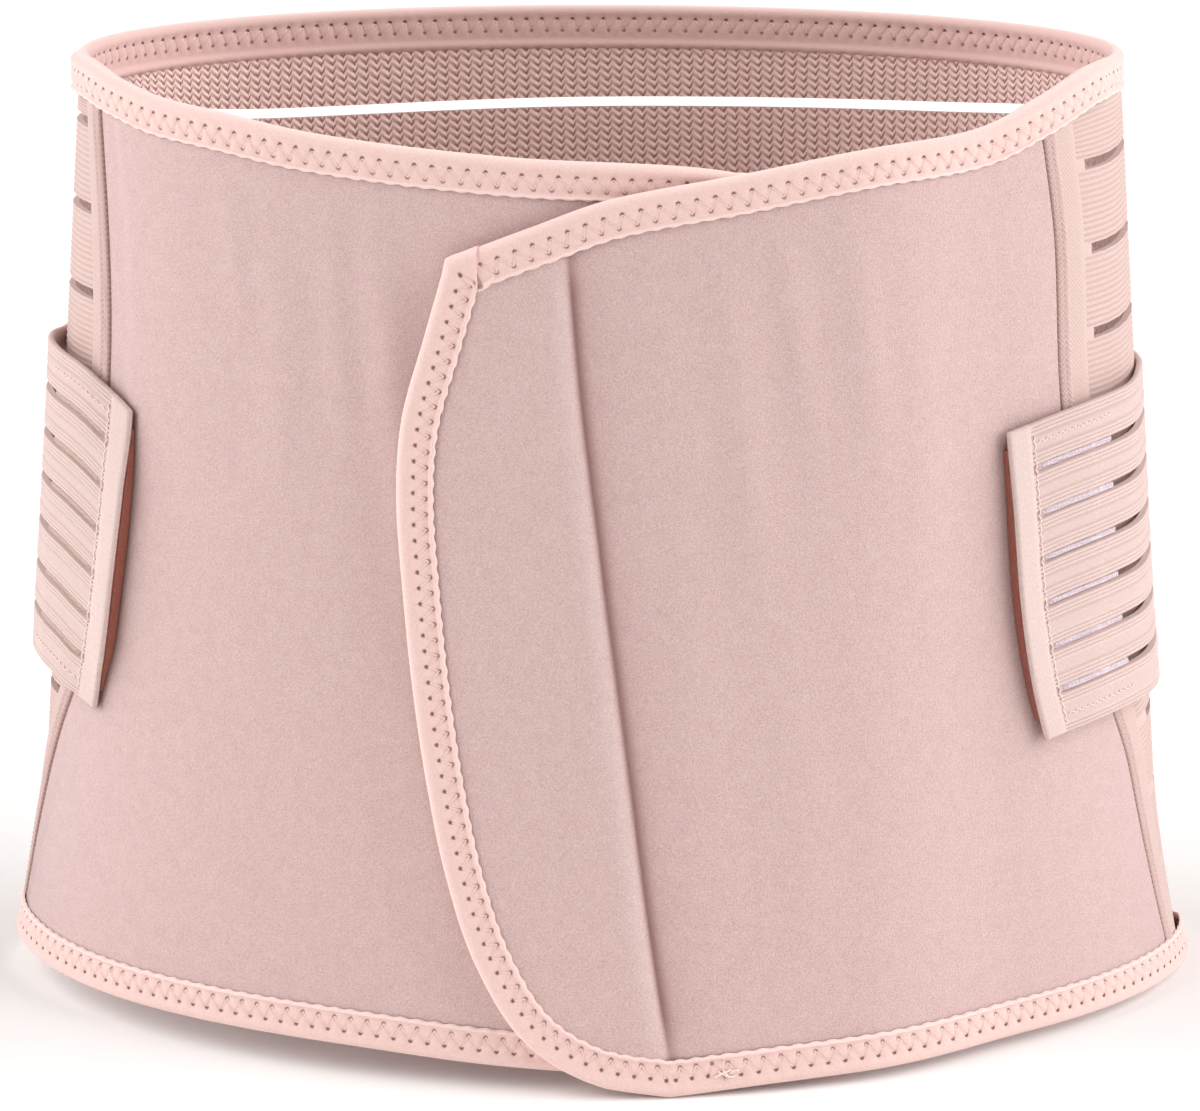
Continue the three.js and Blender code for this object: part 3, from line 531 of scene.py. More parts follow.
def stitched_tape():
    """Folded stretch tape, matte, with a fine knit face, and a painted highlight along its fold and its cut
    edge. The UV is stitches along and millimetres from the fold, below 0 on the inner leg, which has painted
    shade. A stitch runs from its upper needle hole at 0 to the lower one at LEAN and on to the next upper one
    at 1, so at the share t of the way down its thread lies at LEAN t or 1 - (1 - LEAN) t. The holes have
    painted shade, and the tape sinks along the thread, with painted shade in that valley; where the shade
    attribute is 1 there are no stitches."""
    finish, tree = new_finish("folded_stretch_tape")
    place = add(tree, "SeparateXYZ", {"Vector": add(tree, "UVMap", uv_map="cloth")}, None)
    stitch, from_fold = place.outputs["X"], place.outputs["Y"]
    across = add(tree, "Math", {0: from_fold}, operation="ABSOLUTE")
    lean = STITCH_LEAN / STITCH_ROWS
    rise = LOWER_HOLE - UPPER_HOLE

    down = add(tree, "MapRange", {"Value": across, 1: UPPER_HOLE, 2: LOWER_HOLE})
    gaps = []
    for start, run in ((0.0, lean), (1.0, lean - 1)):
        at = add(tree, "Math", {0: down, 1: run, 2: start}, operation="MULTIPLY_ADD")
        aside = add(tree, "Math", {0: stitch, 1: at}, operation="SUBTRACT")
        near = add(tree, "Math", {0: aside, 1: 0.5, 2: -0.5}, operation="WRAP")
        off = add(tree, "Math", {0: near}, operation="ABSOLUTE")
        square = STITCH_PITCH * rise / math.hypot(run * STITCH_PITCH, rise)
        gaps.append(add(tree, "Math", {0: off, 1: square}, operation="MULTIPLY"))
    gap = add(tree, "Math", {0: gaps[0], 1: gaps[1]}, operation="MINIMUM")
    sockets = {"Value": gap, 1: 0.1, 2: 0.8, 3: 1.0, 4: 0.0}
    valley = add(tree, "MapRange", sockets, interpolation_type="SMOOTHSTEP")
    for low, high, first, last in (
        (UPPER_HOLE - 0.6, UPPER_HOLE + 0.2, 0.0, 1.0),
        (LOWER_HOLE - 0.2, LOWER_HOLE + 0.6, 1.0, 0.0),
    ):
        between = add(tree, "MapRange", {"Value": across, 1: low, 2: high, 3: first, 4: last})
        valley = add(tree, "Math", {0: valley, 1: between}, operation="MULTIPLY")

    holes = []
    for at, row, depth in ((0.0, UPPER_HOLE, 1.0), (lean, LOWER_HOLE, 0.75)):
        aside = add(tree, "Math", {0: stitch, 1: at}, operation="SUBTRACT")
        near = add(tree, "Math", {0: aside, 1: 0.5, 2: -0.5}, operation="WRAP")
        along = add(tree, "Math", {0: near, 1: STITCH_PITCH}, operation="MULTIPLY")
        over = add(tree, "Math", {0: across, 1: row}, operation="SUBTRACT")
        gap = add(tree, "CombineXYZ", {0: along, 1: over})
        distance = add(tree, "VectorMath", {0: gap}, "Value", operation="LENGTH")
        sockets = {"Value": distance, 1: 0.25, 2: 0.78, 3: depth, 4: 0.0}
        holes.append(add(tree, "MapRange", sockets, interpolation_type="SMOOTHSTEP"))
    holes = add(tree, "Math", {0: holes[0], 1: holes[1]}, operation="MAXIMUM")
    bare = add(tree, "Attribute", output="Fac", attribute_name="shade")
    sewn = add(tree, "Math", {0: 1.0, 1: bare}, operation="SUBTRACT")
    holes = add(tree, "Math", {0: holes, 1: sewn}, operation="MULTIPLY")
    valley = add(tree, "Math", {0: valley, 1: sewn}, operation="MULTIPLY")

    object_place = add(tree, "TexCoord", output="Object")
    knit = add(tree, "TexNoise", {"Vector": object_place, "Scale": 1900.0, "Detail": 2.0})
    tone = add(tree, "ValToRGB", {"Fac": knit}, None)
    for element, place_on, code in zip(tone.color_ramp.elements, (0.3, 0.7), ("#e3c0b8", "#ebcbc4")):
        element.position = place_on
        element.color = linear(code)
    colour = tone.outputs["Color"]
    cut_edge = TAPE_WIDTH - 0.9
    # Painted highlight from the fold inwards and at the cut edge, then painted shade over the inner leg, in
    # the valleys under the thread and at the needle holes
    valley_shade = add(tree, "Math", {0: valley, 1: 0.22}, operation="MULTIPLY")
    for share, low, high, first, last, code in (
        (None, 0.4, 2.4, 0.4, 0.0, "#f9e3dd"),
        (None, cut_edge - 0.25, cut_edge + 0.25, 0.0, 0.5, "#f9e3dd"),
        (None, -3.0, 1.0, 0.45, 0.0, "#cd9a93"),
        (valley_shade, 0, 0, 0, 0, "#c9968d"),
        (holes, 0, 0, 0, 0, "#8c5952"),
    ):
        if share is None:
            sockets = {"Value": from_fold, 1: low, 2: high, 3: first, 4: last}
            share = add(tree, "MapRange", sockets, interpolation_type="SMOOTHSTEP")
        sockets = {"Factor": share, 6: colour, 7: linear(code)}
        colour = add(tree, "Mix", sockets, 2, data_type="RGBA")
    sunk = add(tree, "Math", {0: valley, 1: -0.1}, operation="MULTIPLY")
    sunk = add(tree, "Math", {0: holes, 1: -0.5, 2: sunk}, operation="MULTIPLY_ADD")
    height = add(tree, "Math", {0: knit, 1: 0.12, 2: sunk}, operation="MULTIPLY_ADD")
    finish_off(tree, colour, height, 1.0, 0.88, 0.3)
    return finish


def ribbed_elastic(name, light, dark, hollow, share):
    """Woven elastic: the cords are in the mesh, the hollows between them get painted shade, and the weft
    that binds them is a fine grain, longer across the cords than along them."""
    finish, tree = new_finish(name)
    uv = add(tree, "UVMap", uv_map="cloth")
    place = add(tree, "Mapping", {"Vector": uv, "Scale": (1.0, 0.45, 1.0)})
    weft = add(tree, "TexNoise", {"Vector": place, "Scale": 2.2, "Detail": 2.0, "Roughness": 0.7})
    tone = add(tree, "MapRange", {"Value": weft, 1: 0.3, 2: 0.7})
    colour = add(tree, "Mix", {"Factor": tone, 6: linear(dark), 7: linear(light)}, 2, data_type="RGBA")
    finish_off(tree, hollows(tree, colour, hollow, share), weft, 0.2, 0.85, 0.2)
    return finish


def pile_knit():
    """Inside of the elastic, a loop knit: each loop is a strand that falls to the right over 0.7 of its
    column, ends in a raised head, and climbs back short. Its colour follows its height: a painted highlight
    along the strand and on its head, and painted shade where it climbs back. At the share p of a column
    the strand has fallen s = min(p / 0.7, (1 - p) / 0.3), and its height is
    cos(2 pi (0.75 s + y / row)) (0.3 + 0.7 s^1.5). Near the sides, behind the side slots, it has plain
    painted shade."""
    finish, tree = new_finish("loop_knit_lining")
    uv = add(tree, "UVMap", uv_map="cloth")
    uneven = add(tree, "TexNoise", {"Vector": uv, "Scale": 0.5, "Detail": 2.0}, "Color")
    shift = add(tree, "VectorMath", {0: uneven, 1: (0.5, 0.5, 0.5)}, operation="SUBTRACT")
    drawn = add(tree, "VectorMath", {0: shift, 1: (1.0, 0.7, 0.0), 2: uv}, operation="MULTIPLY_ADD")
    place = add(tree, "SeparateXYZ", {"Vector": drawn}, None)
    column = add(tree, "Math", {0: place.outputs["X"], 1: -KNIT_COLUMN}, operation="DIVIDE")
    part = add(tree, "Math", {0: column}, operation="FRACT")
    fall = add(tree, "Math", {0: part, 1: 0.7}, operation="DIVIDE")
    climb = add(tree, "Math", {0: part, 1: -1 / 0.3, 2: 1 / 0.3}, operation="MULTIPLY_ADD")
    slant = add(tree, "Math", {0: fall, 1: climb}, operation="MINIMUM")
    row = add(tree, "Math", {0: place.outputs["Y"], 1: KNIT_ROW}, operation="DIVIDE")
    phase = add(tree, "Math", {0: slant, 1: 0.75, 2: row}, operation="MULTIPLY_ADD")
    turn = add(tree, "Math", {0: phase, 1: math.tau}, operation="MULTIPLY")
    wave = add(tree, "Math", {0: turn}, operation="COSINE")
    head = add(tree, "Math", {0: slant, 1: 1.5}, operation="POWER")
    strength = add(tree, "Math", {0: head, 1: 0.7, 2: 0.3}, operation="MULTIPLY_ADD")
    height = add(tree, "Math", {0: wave, 1: strength}, operation="MULTIPLY")
    sockets = {"Value": part, 1: 0.66, 2: 0.82, 3: 0.5, 4: 0.36}
    middle = add(tree, "MapRange", sockets, interpolation_type="SMOOTHSTEP")
    share = add(tree, "Math", {0: height, 1: 0.5, 2: middle}, operation="MULTIPLY_ADD")
    tone = add(tree, "ValToRGB", {"Fac": share}, None)
    elements = tone.color_ramp.elements
    elements.new(0.5)
    for element, place_on, code in zip(elements, (0.08, 0.5, 0.95), ("#a87770", "#f3cfc6", "#ffeee8")):
        element.position = place_on
        element.color = linear(code)
    # Painted shade: near the sides the knit goes plain #a98c85
    finish_off(tree, hollows(tree, tone.outputs["Color"], "#a98c85", 1.0), height, 0.22, 0.95, 0.2)
    return finish


def fine_twill():
    """Twill tape: fine diagonal lines 0.9 mm apart, and a braid along one border whose hollows get painted
    shade. A diagonal wave's period is 2 pi / (10 scale) along x + y."""
    finish, tree = new_finish("fine_twill_tape")
    uv = add(tree, "UVMap", uv_map="cloth")
    sockets = {
        "Vector": uv,
        "Scale": math.tau / (10 * 0.9 * math.sqrt(2)),
        "Distortion": 1.2,
        "Detail": 1.0,
    }
    lines = add(tree, "TexWave", sockets, "Fac", bands_direction="DIAGONAL")
    fibre = add(tree, "TexNoise", {"Vector": uv, "Scale": 1.6, "Detail": 3.0})
    both = add(tree, "Math", {0: lines, 1: 0.5, 2: fibre}, operation="MULTIPLY_ADD")
    tone = add(tree, "MapRange", {"Value": both, 1: 0.4, 2: 1.1})
    sockets = {"Factor": tone, 6: linear("#c3a69f"), 7: linear("#d6bdb7")}
    colour = add(tree, "Mix", sockets, 2, data_type="RGBA")
    finish_off(tree, hollows(tree, colour, "#96665e", 0.85), both, 0.12, 0.88, 0.25)
    return finish


def plain_weave(name, light, dark, grain, relief, roughness, sheen):
    """A close plain weave or a twisted thread, whose grain is too fine to show single strands."""
    finish, tree = new_finish(name)
    scale, detail = grain
    place = add(tree, "TexCoord", output="Object")
    weave = add(tree, "TexNoise", {"Vector": place, "Scale": scale, "Detail": detail})
    sockets = {"Factor": weave, 6: linear(dark), 7: linear(light)}
    colour = add(tree, "Mix", sockets, 2, data_type="RGBA")
    finish_off(tree, colour, weave, relief, roughness, sheen)
    return finish


def hook_tape(name, light, dark):
    """Hook fastener: a field of stiff nylon hooks 1.1 mm apart, a little glossy, pale lilac grey on the
    right pad; the left pad's copy is darker brown grey, painted shade."""
    finish, tree = new_finish(name)
    uv = add(tree, "UVMap", uv_map="cloth")
    sockets = {"Vector": uv, "Scale": 0.95, "Randomness": 0.35}
    hooks = add(tree, "TexVoronoi", sockets, "Distance")
    tone = add(tree, "MapRange", {"Value": hooks, 1: 0.1, 2: 0.7, 3: 1.0, 4: 0.0})
    colour = add(tree, "Mix", {"Factor": tone, 6: linear(dark), 7: linear(light)}, 2, data_type="RGBA")
    finish_off(tree, colour, tone, 0.3, 0.6, 0.0)
    return finish


FELT_FINISH = brushed_felt()
TAPE_FINISH = stitched_tape()
# The third colour of each elastic is its painted shade in the rib hollows; the slot edge finish is a darker
# copy of the elastic, painted shade for the slots' side walls
ELASTIC_FINISH = ribbed_elastic("ribbed_woven_elastic", "#dac2bb", "#ccb0a8", "#a37d75", 0.65)
SHADED_SLOT_EDGE_FINISH = ribbed_elastic("elastic_slot_edge_painted_shade", "#b99c95", "#a98b84", "#98786f", 0.3)
STRAP_FINISH = ribbed_elastic("ribbed_strap_elastic", "#dec9c3", "#d1b8b1", "#a27a72", 0.42)
KNIT_FINISH = pile_knit()
TWILL_FINISH = fine_twill()
# The left pad's hook tape is a darker copy of the right one's, with painted shade
HOOK_FINISH = {
    "right": hook_tape("lilac_hook_tape", "#e4d6dc", "#c4b2b8"),
    "left": hook_tape("hook_tape_painted_shade", "#ccb2ab", "#b4988f"),
}
# Painted shade: a dark red brown under the tabs' hems, on the hook pads' undersides and round their folded
# ends, for the shade in the gap under the lifted tabs
UNDERSIDE_SHADE_FINISH = plain_weave("underside_painted_shade", "#a8695a", "#87483a", (1500.0, 2.0), 0.15, 0.9, 0.1)
# Twisted polyester sewing thread, with a slight gloss
THREAD_FINISH = plain_weave("tape_thread", "#f0d4cd", "#e6c3bb", (2500.0, 1.0), 0.1, 0.7, 0.2)
PALE_THREAD_FINISH = plain_weave("pale_thread", "#fbe9e3", "#eed5cd", (2500.0, 1.0), 0.1, 0.7, 0.2)


# The edge tapes


def stitch_relief(rows_along, from_fold, holes, pitch):
    """Height of a tape's face beside its stitches: a valley under each thread of the zigzag and a pit at
    each needle hole, as exp(-(d/w)^2) of the distance d to them."""
    along = (rows_along % STITCH_ROWS)[:, None] * pitch / STITCH_ROWS
    across = from_fold[None, :]
    upper = (0.0, holes[0])
    lower = (STITCH_LEAN * pitch / STITCH_ROWS, holes[1])
    valley = np.full(np.broadcast(along, across).shape, 9.0)
    pit = valley.copy()
    for shift in (-pitch, 0.0, pitch):
        for start, end in ((upper, lower), (lower, (pitch, holes[0]))):
            run, rise = end[0] - start[0], end[1] - start[1]
            part = ((along - start[0] - shift) * run + (across - start[1]) * rise) / (run**2 + rise**2)
            part = np.clip(part, 0, 1)
            gap = np.hypot(along - start[0] - shift - part * run, across - start[1] - part * rise)
            valley = np.minimum(valley, gap)
            pit = np.minimum(pit, np.hypot(along - start[0] - shift, across - start[1]))
    valley = VALLEY[0] * np.exp(-((valley / VALLEY[1]) ** 2))
    return -valley - PIT[0] * np.exp(-((pit / PIT[1]) ** 2))


# Face of a tape's leg from its edge to the fold: share of the leg's width, height over the cloth
LEG_FACE = [
    (1.0, 0.05), (0.99, 0.55), (0.97, 0.9), (0.945, 1.02), (0.92, 0.98), (0.89, 0.7), (0.86, 0.5),
    (0.82, 0.52), (0.77, 0.66), (0.7, 0.84), (0.61, 0.96), (0.52, 0.96), (0.43, 0.84), (0.37, 0.86),
    (0.3, 1.05), (0.22, 1.25),
]
FOLD_DEPTH = 2.2
FOLD_TURNS = 9
# Underside of a leg: shares of its width, and how much of the face's rise it follows
UNDER_SHARES = (0.7, 0.4, 0.14)
UNDER_RAISED = 0.7
SCALLOP = 0.2  # wave of a leg's edge from stitch to stitch
# An end that lies on its neighbour: how far up, past the edge, back to level, and its own folded hem
OVER_RISE, OVER_OUTSET, OVER_FADE = 0.4, 0.35, 6.0
OVER_HEM, OVER_HEM_WIDTH, OVER_BARE = 0.3, 1.2, 2.5
# An end that goes under its neighbour: how far down, in from the edge, and bare of stitches before it
TUCK_DROP, TUCK_INSET, TUCK_BARE = 0.6, 0.8, 3.0
# Rows of a tape are evenly spaced along its leg, at this share of the width, and in part along the fold
SPACED_AT = 0.65
FOLD_PART = 0.2


def zipped(upper, lower):
    """Triangles between two chains of point numbers, each step taken on the chain that is behind."""
    above = below = 0
    last_above, last_below = len(upper) - 1, len(lower) - 1
    faces = []
    while above < last_above or below < last_below:
        if below == last_below or (above + 1) * last_below <= (below + 1) * last_above:
            faces.append((upper[above], lower[below], upper[above + 1]))
            above += 1
        else:
            faces.append((upper[above], lower[below], lower[below + 1]))
            below += 1
    return np.array(faces)


def mitred(edge, mitre, width_end):
    """A leg's edge path with its end drawn in to a corner's mitre point, by the cube of the share of
    the way there; width_end is 0 or -1."""
    path = edge if width_end == 0 else edge[::-1]
    gap = (path - mitre) * [float(per_degree(*mitre)), 1.0]
    nearest = int(np.argmin(np.linalg.norm(gap, axis=1)))
    drawn = path.copy()
    drawn[:nearest] = mix(mitre, path[nearest], (np.arange(nearest) / max(nearest, 1))[:, None] ** 3)
    return drawn if width_end == 0 else drawn[::-1]


def make_tape(name, path, node, corners=(None, None), over=0.0, tuck=0.0, holes=None, pitch=STITCH_PITCH):
    """A tape folded over an edge, with the cloth on the left of its path. Across, its face goes from
    one leg's edge over a half ellipse at the fold to the other leg's edge, and back under the legs.
    Along the length over it lies raised on its neighbour, and along the length tuck it sinks under one;
    where it meets a neighbour it is bare of stitches, which the shade attribute marks."""
    holes = holes or (UPPER_HOLE, LOWER_HOLE)
    size = lengths(path)[-1]
    dense = 4 * int(size)
    fold = along_path(path, np.linspace(0, 1, dense))
    from_start = np.linspace(0, size, dense)
    tucked = smooth(-1.2, 0.6, from_start - (size - tuck)) if tuck else np.zeros(dense)
    risen = 1 - smooth(over, over + OVER_FADE, from_start) if over else np.zeros(dense)
    fold = beside(fold, TUCK_INSET * tucked - OVER_OUTSET * risen)
    widths = {"outer": TAPE_WIDTH, "inner": TAPE_INSIDE}
    edges = {leg: beside(fold, width) for leg, width in widths.items()}
    for leg, width in widths.items():
        for end, corner in zip((0, -1), corners):
            if corner is not None:
                edges[leg] = mitred(edges[leg], inside_corner(*corner, width), end)
    sewn_at = lengths(mix(fold, edges["outer"], SPACED_AT)) + FOLD_PART * from_start
    stitches = max(1, round(sewn_at[-1] / (1 + FOLD_PART) / pitch))
    rows = stitches * STITCH_ROWS + 1
    pick = np.interp(np.linspace(0, sewn_at[-1], rows), sewn_at, np.arange(dense))
    fold = picked(fold, pick)
    edges = {leg: picked(edge, pick) for leg, edge in edges.items()}
    lines = (tucked, risen, from_start)
    tucked, risen, from_start = (np.interp(pick, np.arange(dense), line) for line in lines)
    bare = np.zeros(rows)
    if tuck:
        bare = smooth(size - tuck - TUCK_BARE, size - tuck - TUCK_BARE + 1, from_start)
    if over:
        bare = 1 - smooth(OVER_BARE, OVER_BARE + 1, from_start)
    along = np.arange(rows)[:, None]
    scallop = SCALLOP * np.cos(math.tau * (along - STITCH_LEAN) / STITCH_ROWS)
    over_rise = OVER_RISE + OVER_HEM * np.exp(-((from_start / OVER_HEM_WIDTH) ** 2))
    raised = (risen * over_rise - TUCK_DROP * tucked)[:, None]
    stitched = [0.0, *holes, TAPE_INSIDE]
    drawn = [0.0, UPPER_HOLE, LOWER_HOLE, TAPE_INSIDE + LOWER_HOLE - holes[1]]
    face = {"outer": held_outer, "inner": lambda angle, z: -held_inner(angle, z)}
    sign = {"outer": 1, "inner": -1}

    def strip(leg, share, high):
        """Points and flat places of a lengthwise strip of a leg, at heights over what it holds."""
        width = widths[leg]
        reach = share + scallop * smooth(0.9, 1.0, share) / width
        places = mix(fold[:, None], edges[leg][:, None], reach[..., None])
        angle, z = places[..., 0], places[..., 1]
        offset = sign[leg] * (face[leg](angle, z) + high)
        from_fold = sign[leg] * np.interp(share * width, stitched, drawn)
        return on_body(angle, z, offset), np.stack(np.broadcast_arrays(along / STITCH_ROWS, from_fold), -1)

    share, height = np.array(LEG_FACE).T
    inner_share = share * np.linspace(1, TAPE_WIDTH / TAPE_INSIDE, len(share))
    turn = np.linspace(math.pi / 2, -math.pi / 2, FOLD_TURNS + 2)[1:-1]
    depth = (FOLD_DEPTH * (1 - np.cos(turn)) / TAPE_WIDTH)[:, None]
    places = mix(fold[:, None], edges["outer"][:, None], depth)
    outside = held_outer(fold[:, 0], fold[:, 1])[:, None] + height[-1] + raised
    inside = held_inner(fold[:, 0], fold[:, 1])[:, None] - height[-1] - raised
    offset = (outside + inside) / 2 + (outside - inside) / 2 * np.sin(turn)
    bend = (
        on_body(places[..., 0], places[..., 1], offset),
        np.stack(np.broadcast_arrays(along / STITCH_ROWS, FOLD_DEPTH * np.sin(turn)), -1),
    )
    legs = {}
    for leg, shares in (("outer", share), ("inner", inner_share)):
        stitched_in = stitch_relief(np.arange(rows), shares * widths[leg], holes, pitch)
        high = height + stitched_in * (1 - bare)[:, None] + raised
        legs[leg] = strip(leg, shares, high)
    under = np.array(UNDER_SHARES)
    strips = [
        legs["outer"],
        bend,
        tuple(part[:, ::-1] for part in legs["inner"]),
        strip("inner", under, raised * UNDER_RAISED),
        strip("outer", under[::-1], raised * UNDER_RAISED),
    ]
    ring = np.concatenate([part[0] for part in strips], 1)
    flat = np.concatenate([part[1] for part in strips], 1)
    number = np.arange(ring.shape[0] * ring.shape[1]).reshape(ring.shape[:2])
    near, far = number[:-1], number[1:]
    around = np.stack([near, np.roll(near, -1, 1), np.roll(far, -1, 1), far], -1).reshape(-1, 4)
    top = 2 * len(share) + FOLD_TURNS
    first = zipped(number[0, :top], number[0, top:][::-1])
    last = zipped(number[-1, :top], number[-1, top:][::-1])[:, ::-1]
    piece = make_piece(
        name,
        ring.reshape(-1, 3),
        [around, first, last],
        [TAPE_FINISH],
        [node],
        flat.reshape(-1, 2),
        shade=np.repeat(bare, ring.shape[1]),
    )
    shown = stitches - int((tuck + TUCK_BARE) / pitch) if tuck else stitches
    numbers = (1 if over else 0, shown)
    threads = stitch_threads(name, fold, edges, widths, numbers, face, sign, holes)
    declare_cloth(piece, ring[:, :top])


def stitch_threads(name, fold, edges, widths, stitches, face, sign, holes):
    """The zigzag thread on both legs: from each upper needle hole to the lower one and on to the next
    upper one, each a short arch that lies in its valley and dips into its holes; stitches gives the
    first one's number and how many the tape has up to its neighbour."""
    paths, outward = [], []
    part, arch = np.array(TAPE_ARCH).T
    start = np.arange(stitches[0], stitches[1] - 1) * STITCH_ROWS
    rows = np.arange(len(fold))
    for leg in ("outer", "inner"):
        for (row_a, hole_a), (row_b, hole_b) in (
            ((0, holes[0]), (STITCH_LEAN, holes[1])),
            ((STITCH_LEAN, holes[1]), (STITCH_ROWS, holes[0])),
        ):
            row = start[:, None] + mix(row_a, row_b, part)
            reach = mix(hole_a, hole_b, part) / widths[leg]
            at = [np.interp(row, rows, line[:, k]) for line in (fold, edges[leg]) for k in (0, 1)]
            angle = mix(at[0], at[2], reach)
            z = mix(at[1], at[3], reach)
            offset = sign[leg] * (face[leg](angle, z) + THREAD_LIFT + arch)
            paths.append(on_body(angle, z, offset))
            outward.append(on_body(angle, z, offset + sign[leg]) - paths[-1])
    points, faces = tubes(np.concatenate(paths), np.concatenate(outward), THREAD / 2)
    return make_piece(name.replace("tape", "stitches"), points, faces, [THREAD_FINISH])


upper_corner = end_places(0.0)
before_upper = rim_places(upper_corner[0] + CORNER_REACH)
after_upper = end_places(0.33)
join_angle = float(inside_corner(before_upper, upper_corner, after_upper, TAPE_WIDTH)[0])
upper_bend = (before_upper, upper_corner, after_upper)
lower_inner = hem_places(INNER_END)
upper_inner = rim_places(INNER_END)
lower_bend = (hem_places(INNER_END - 2), lower_inner, mix(lower_inner, upper_inner, 0.05))
top_bend = (mix(upper_inner, lower_inner, 0.05), upper_inner, rim_places(INNER_END - 2))

END_PATH = np.concatenate(
    [
        rim_places(np.linspace(join_angle, upper_corner[0], 6))[:-1],
        end_places(np.linspace(0, len(OUTER_END) - 1, 160)),
        hem_places(np.linspace(7.5, TAPE_JOIN, 12))[1:],
    ]
)
JOIN_REACH = float(lengths(rim_places(np.linspace(join_angle, upper_corner[0] + 0.4, 9)))[-1])
make_tape(
    "outer_end_tape",
    END_PATH,
    "outer_end_binding",
    (upper_bend, None),
    over=JOIN_REACH,
    holes=END_HOLES,
    pitch=END_PITCH,
)
make_tape(
    "rim_tape",
    rim_places(np.linspace(INNER_END, upper_corner[0] + 0.4, 700)),
    "top_binding",
    (top_bend, upper_bend),
    tuck=JOIN_REACH - 4.0,
)
make_tape(
    "hem_tape", hem_places(np.linspace(TAPE_JOIN - 0.1, INNER_END, 700)), "bottom_binding", (None, lower_bend)
)
make_tape(
    "inner_end_tape",
    mix(lower_inner, upper_inner, np.linspace(0, 1, 60)[:, None]),
    "inner_end_binding",
    (lower_bend, top_bend),
)


def make_bar_tack():
    """The knot of thread at the join of end tape and hem tape: short strands that cross, as lines from
    one place to another, in millimetres right of the join and up from the fold, that bulge sideways by
    4 b t (1 - t)."""
    lines = [
        (-2.8, 4.3, 1.4, 5.9, 0.3), (-1.9, 5.8, 2.3, 4.2, -0.4), (-0.6, 6.0, 0.9, 3.9, 0.2),
        (0.9, 5.0, 3.5, 5.7, 0.5),
    ]
    x0, y0, x1, y1, bulge = np.array(lines).T[:, :, None]
    part = np.linspace(0, 1, 9)
    x = mix(x0, x1, part)
    y = mix(y0, y1, part) + 4 * bulge * part * (1 - part)
    join = hem_places(np.float64(TAPE_JOIN))
    places = shifted(np.broadcast_to(join, (*x.shape, 2)), x, y)
    angle, z = places[..., 0], places[..., 1]
    offset = held_outer(angle, z) + 1.0 + 0.5 * (1 - (2 * part - 1) ** 4)
    path = on_body(angle, z, offset)
    points, faces = tubes(path, on_body(angle, z, offset + 1) - path, TACK_THREAD / 2)
    make_piece("bar_tack", points, faces, [PALE_THREAD_FINISH])


make_bar_tack()


# The felt panels


def coons(left, right, bottom, top, columns, rows):
    """Places inside four edge paths: what the two sides give at a row plus what bottom and top give
    at a column's share of their length, less the bilinear patch through the four corners."""
    bottom = np.concatenate([left[:1], bottom[1:-1], right[:1]])
    top = np.concatenate([left[-1:], top[1:-1], right[-1:]])
    low, high = (along_path(path, columns)[:, None] for path in (bottom, top))
    pick = np.linspace(0, 1, rows)
    sides = [picked(path, pick, np.linspace(0, 1, len(path)))[None] for path in (left, right)]
    across = columns[:, None, None]
    up = pick[None, :, None]
    corners = mix(mix(low[:1], low[-1:], across), mix(high[:1], high[-1:], across), up)
    return mix(low, high, up) + mix(*sides, across) - corners


def wrinkles(places):
    """Height of the soft wrinkles: each is a ridge of profile 1.7 (1 - q) exp(-q), q = (d/w)^2, at the
    distance d from a line between its upper and its lower end, faded at both ends."""
    angle, z = places[..., 0], places[..., 1]
    pace = per_degree(angle, z)
    total = np.zeros_like(angle)
    for top_angle, top_z, low_angle, low_z, width, height in WRINKLES:
        part = (top_z - z) / (top_z - low_z)
        line = mix(top_angle, low_angle, np.clip(part, -0.5, 1.5))
        fade = smooth(-0.05, 0.25, part) * (1 - smooth(0.55, 1.1, part))
        aside = ((angle - line) * pace / width) ** 2
        total += 1.7 * height * fade * (1 - aside) * np.exp(-aside)
    return total


def sewn_relief(places):
    """Relief and painted shade of the sewn line at a distance d to its right: a crest before it,
    0.8 exp(-((d+6)/5)^2), and a groove 1.6 mm deep that dies away to the right as exp(-d/5). The shade
    is painted in the groove and to its right, and a narrow strip on its left has a painted highlight."""
    angle, z = places[..., 0], places[..., 1]
    line = follow(SEWN_LINE, z / HEIGHT)
    past = (angle - line) * per_degree(angle, z)
    crest = 0.8 * np.exp(-(((past + 6) / 5) ** 2))
    groove = np.where(past < 0, np.exp(-((past / 1.6) ** 2)), np.exp(-past / 5))
    # Painted shade in the groove and to its right, and a painted highlight on a narrow strip to its left
    right = 0.7 * np.exp(-((past / 1.9) ** 2)) + 0.38 * np.exp(-past / 6)
    pressed = np.where(past < 0, np.exp(-((past / 0.8) ** 2)), right)
    pale = np.where(past < 0, 0.14 * np.exp(-(((past + 3) / 2.4) ** 2)), 0)
    return crest - 1.6 * groove, pressed - pale


def make_felt(name, node, places, lift, relief, shade):
    """A felt panel: its face is pressed down where it goes in under the tape, and shade gives its colour's
    painted shade, and below 0 its painted highlight."""
    angle, z = places[..., 0], places[..., 1]
    pressed = edge_press(places)
    outer = lift + relief - pressed
    inner = lift - FELT + pressed * 0.5 + 0.0 * angle
    grids = on_body(angle, z, outer), on_body(angle, z, inner)
    cloth = grid_cloth(angle, z, angle.mean())
    piece = make_wall(name, grids, cloth, [FELT_FINISH, FELT_FINISH], node, (shade, 0.0))
    declare_cloth(piece, (grids[0] + grids[1]) / 2)


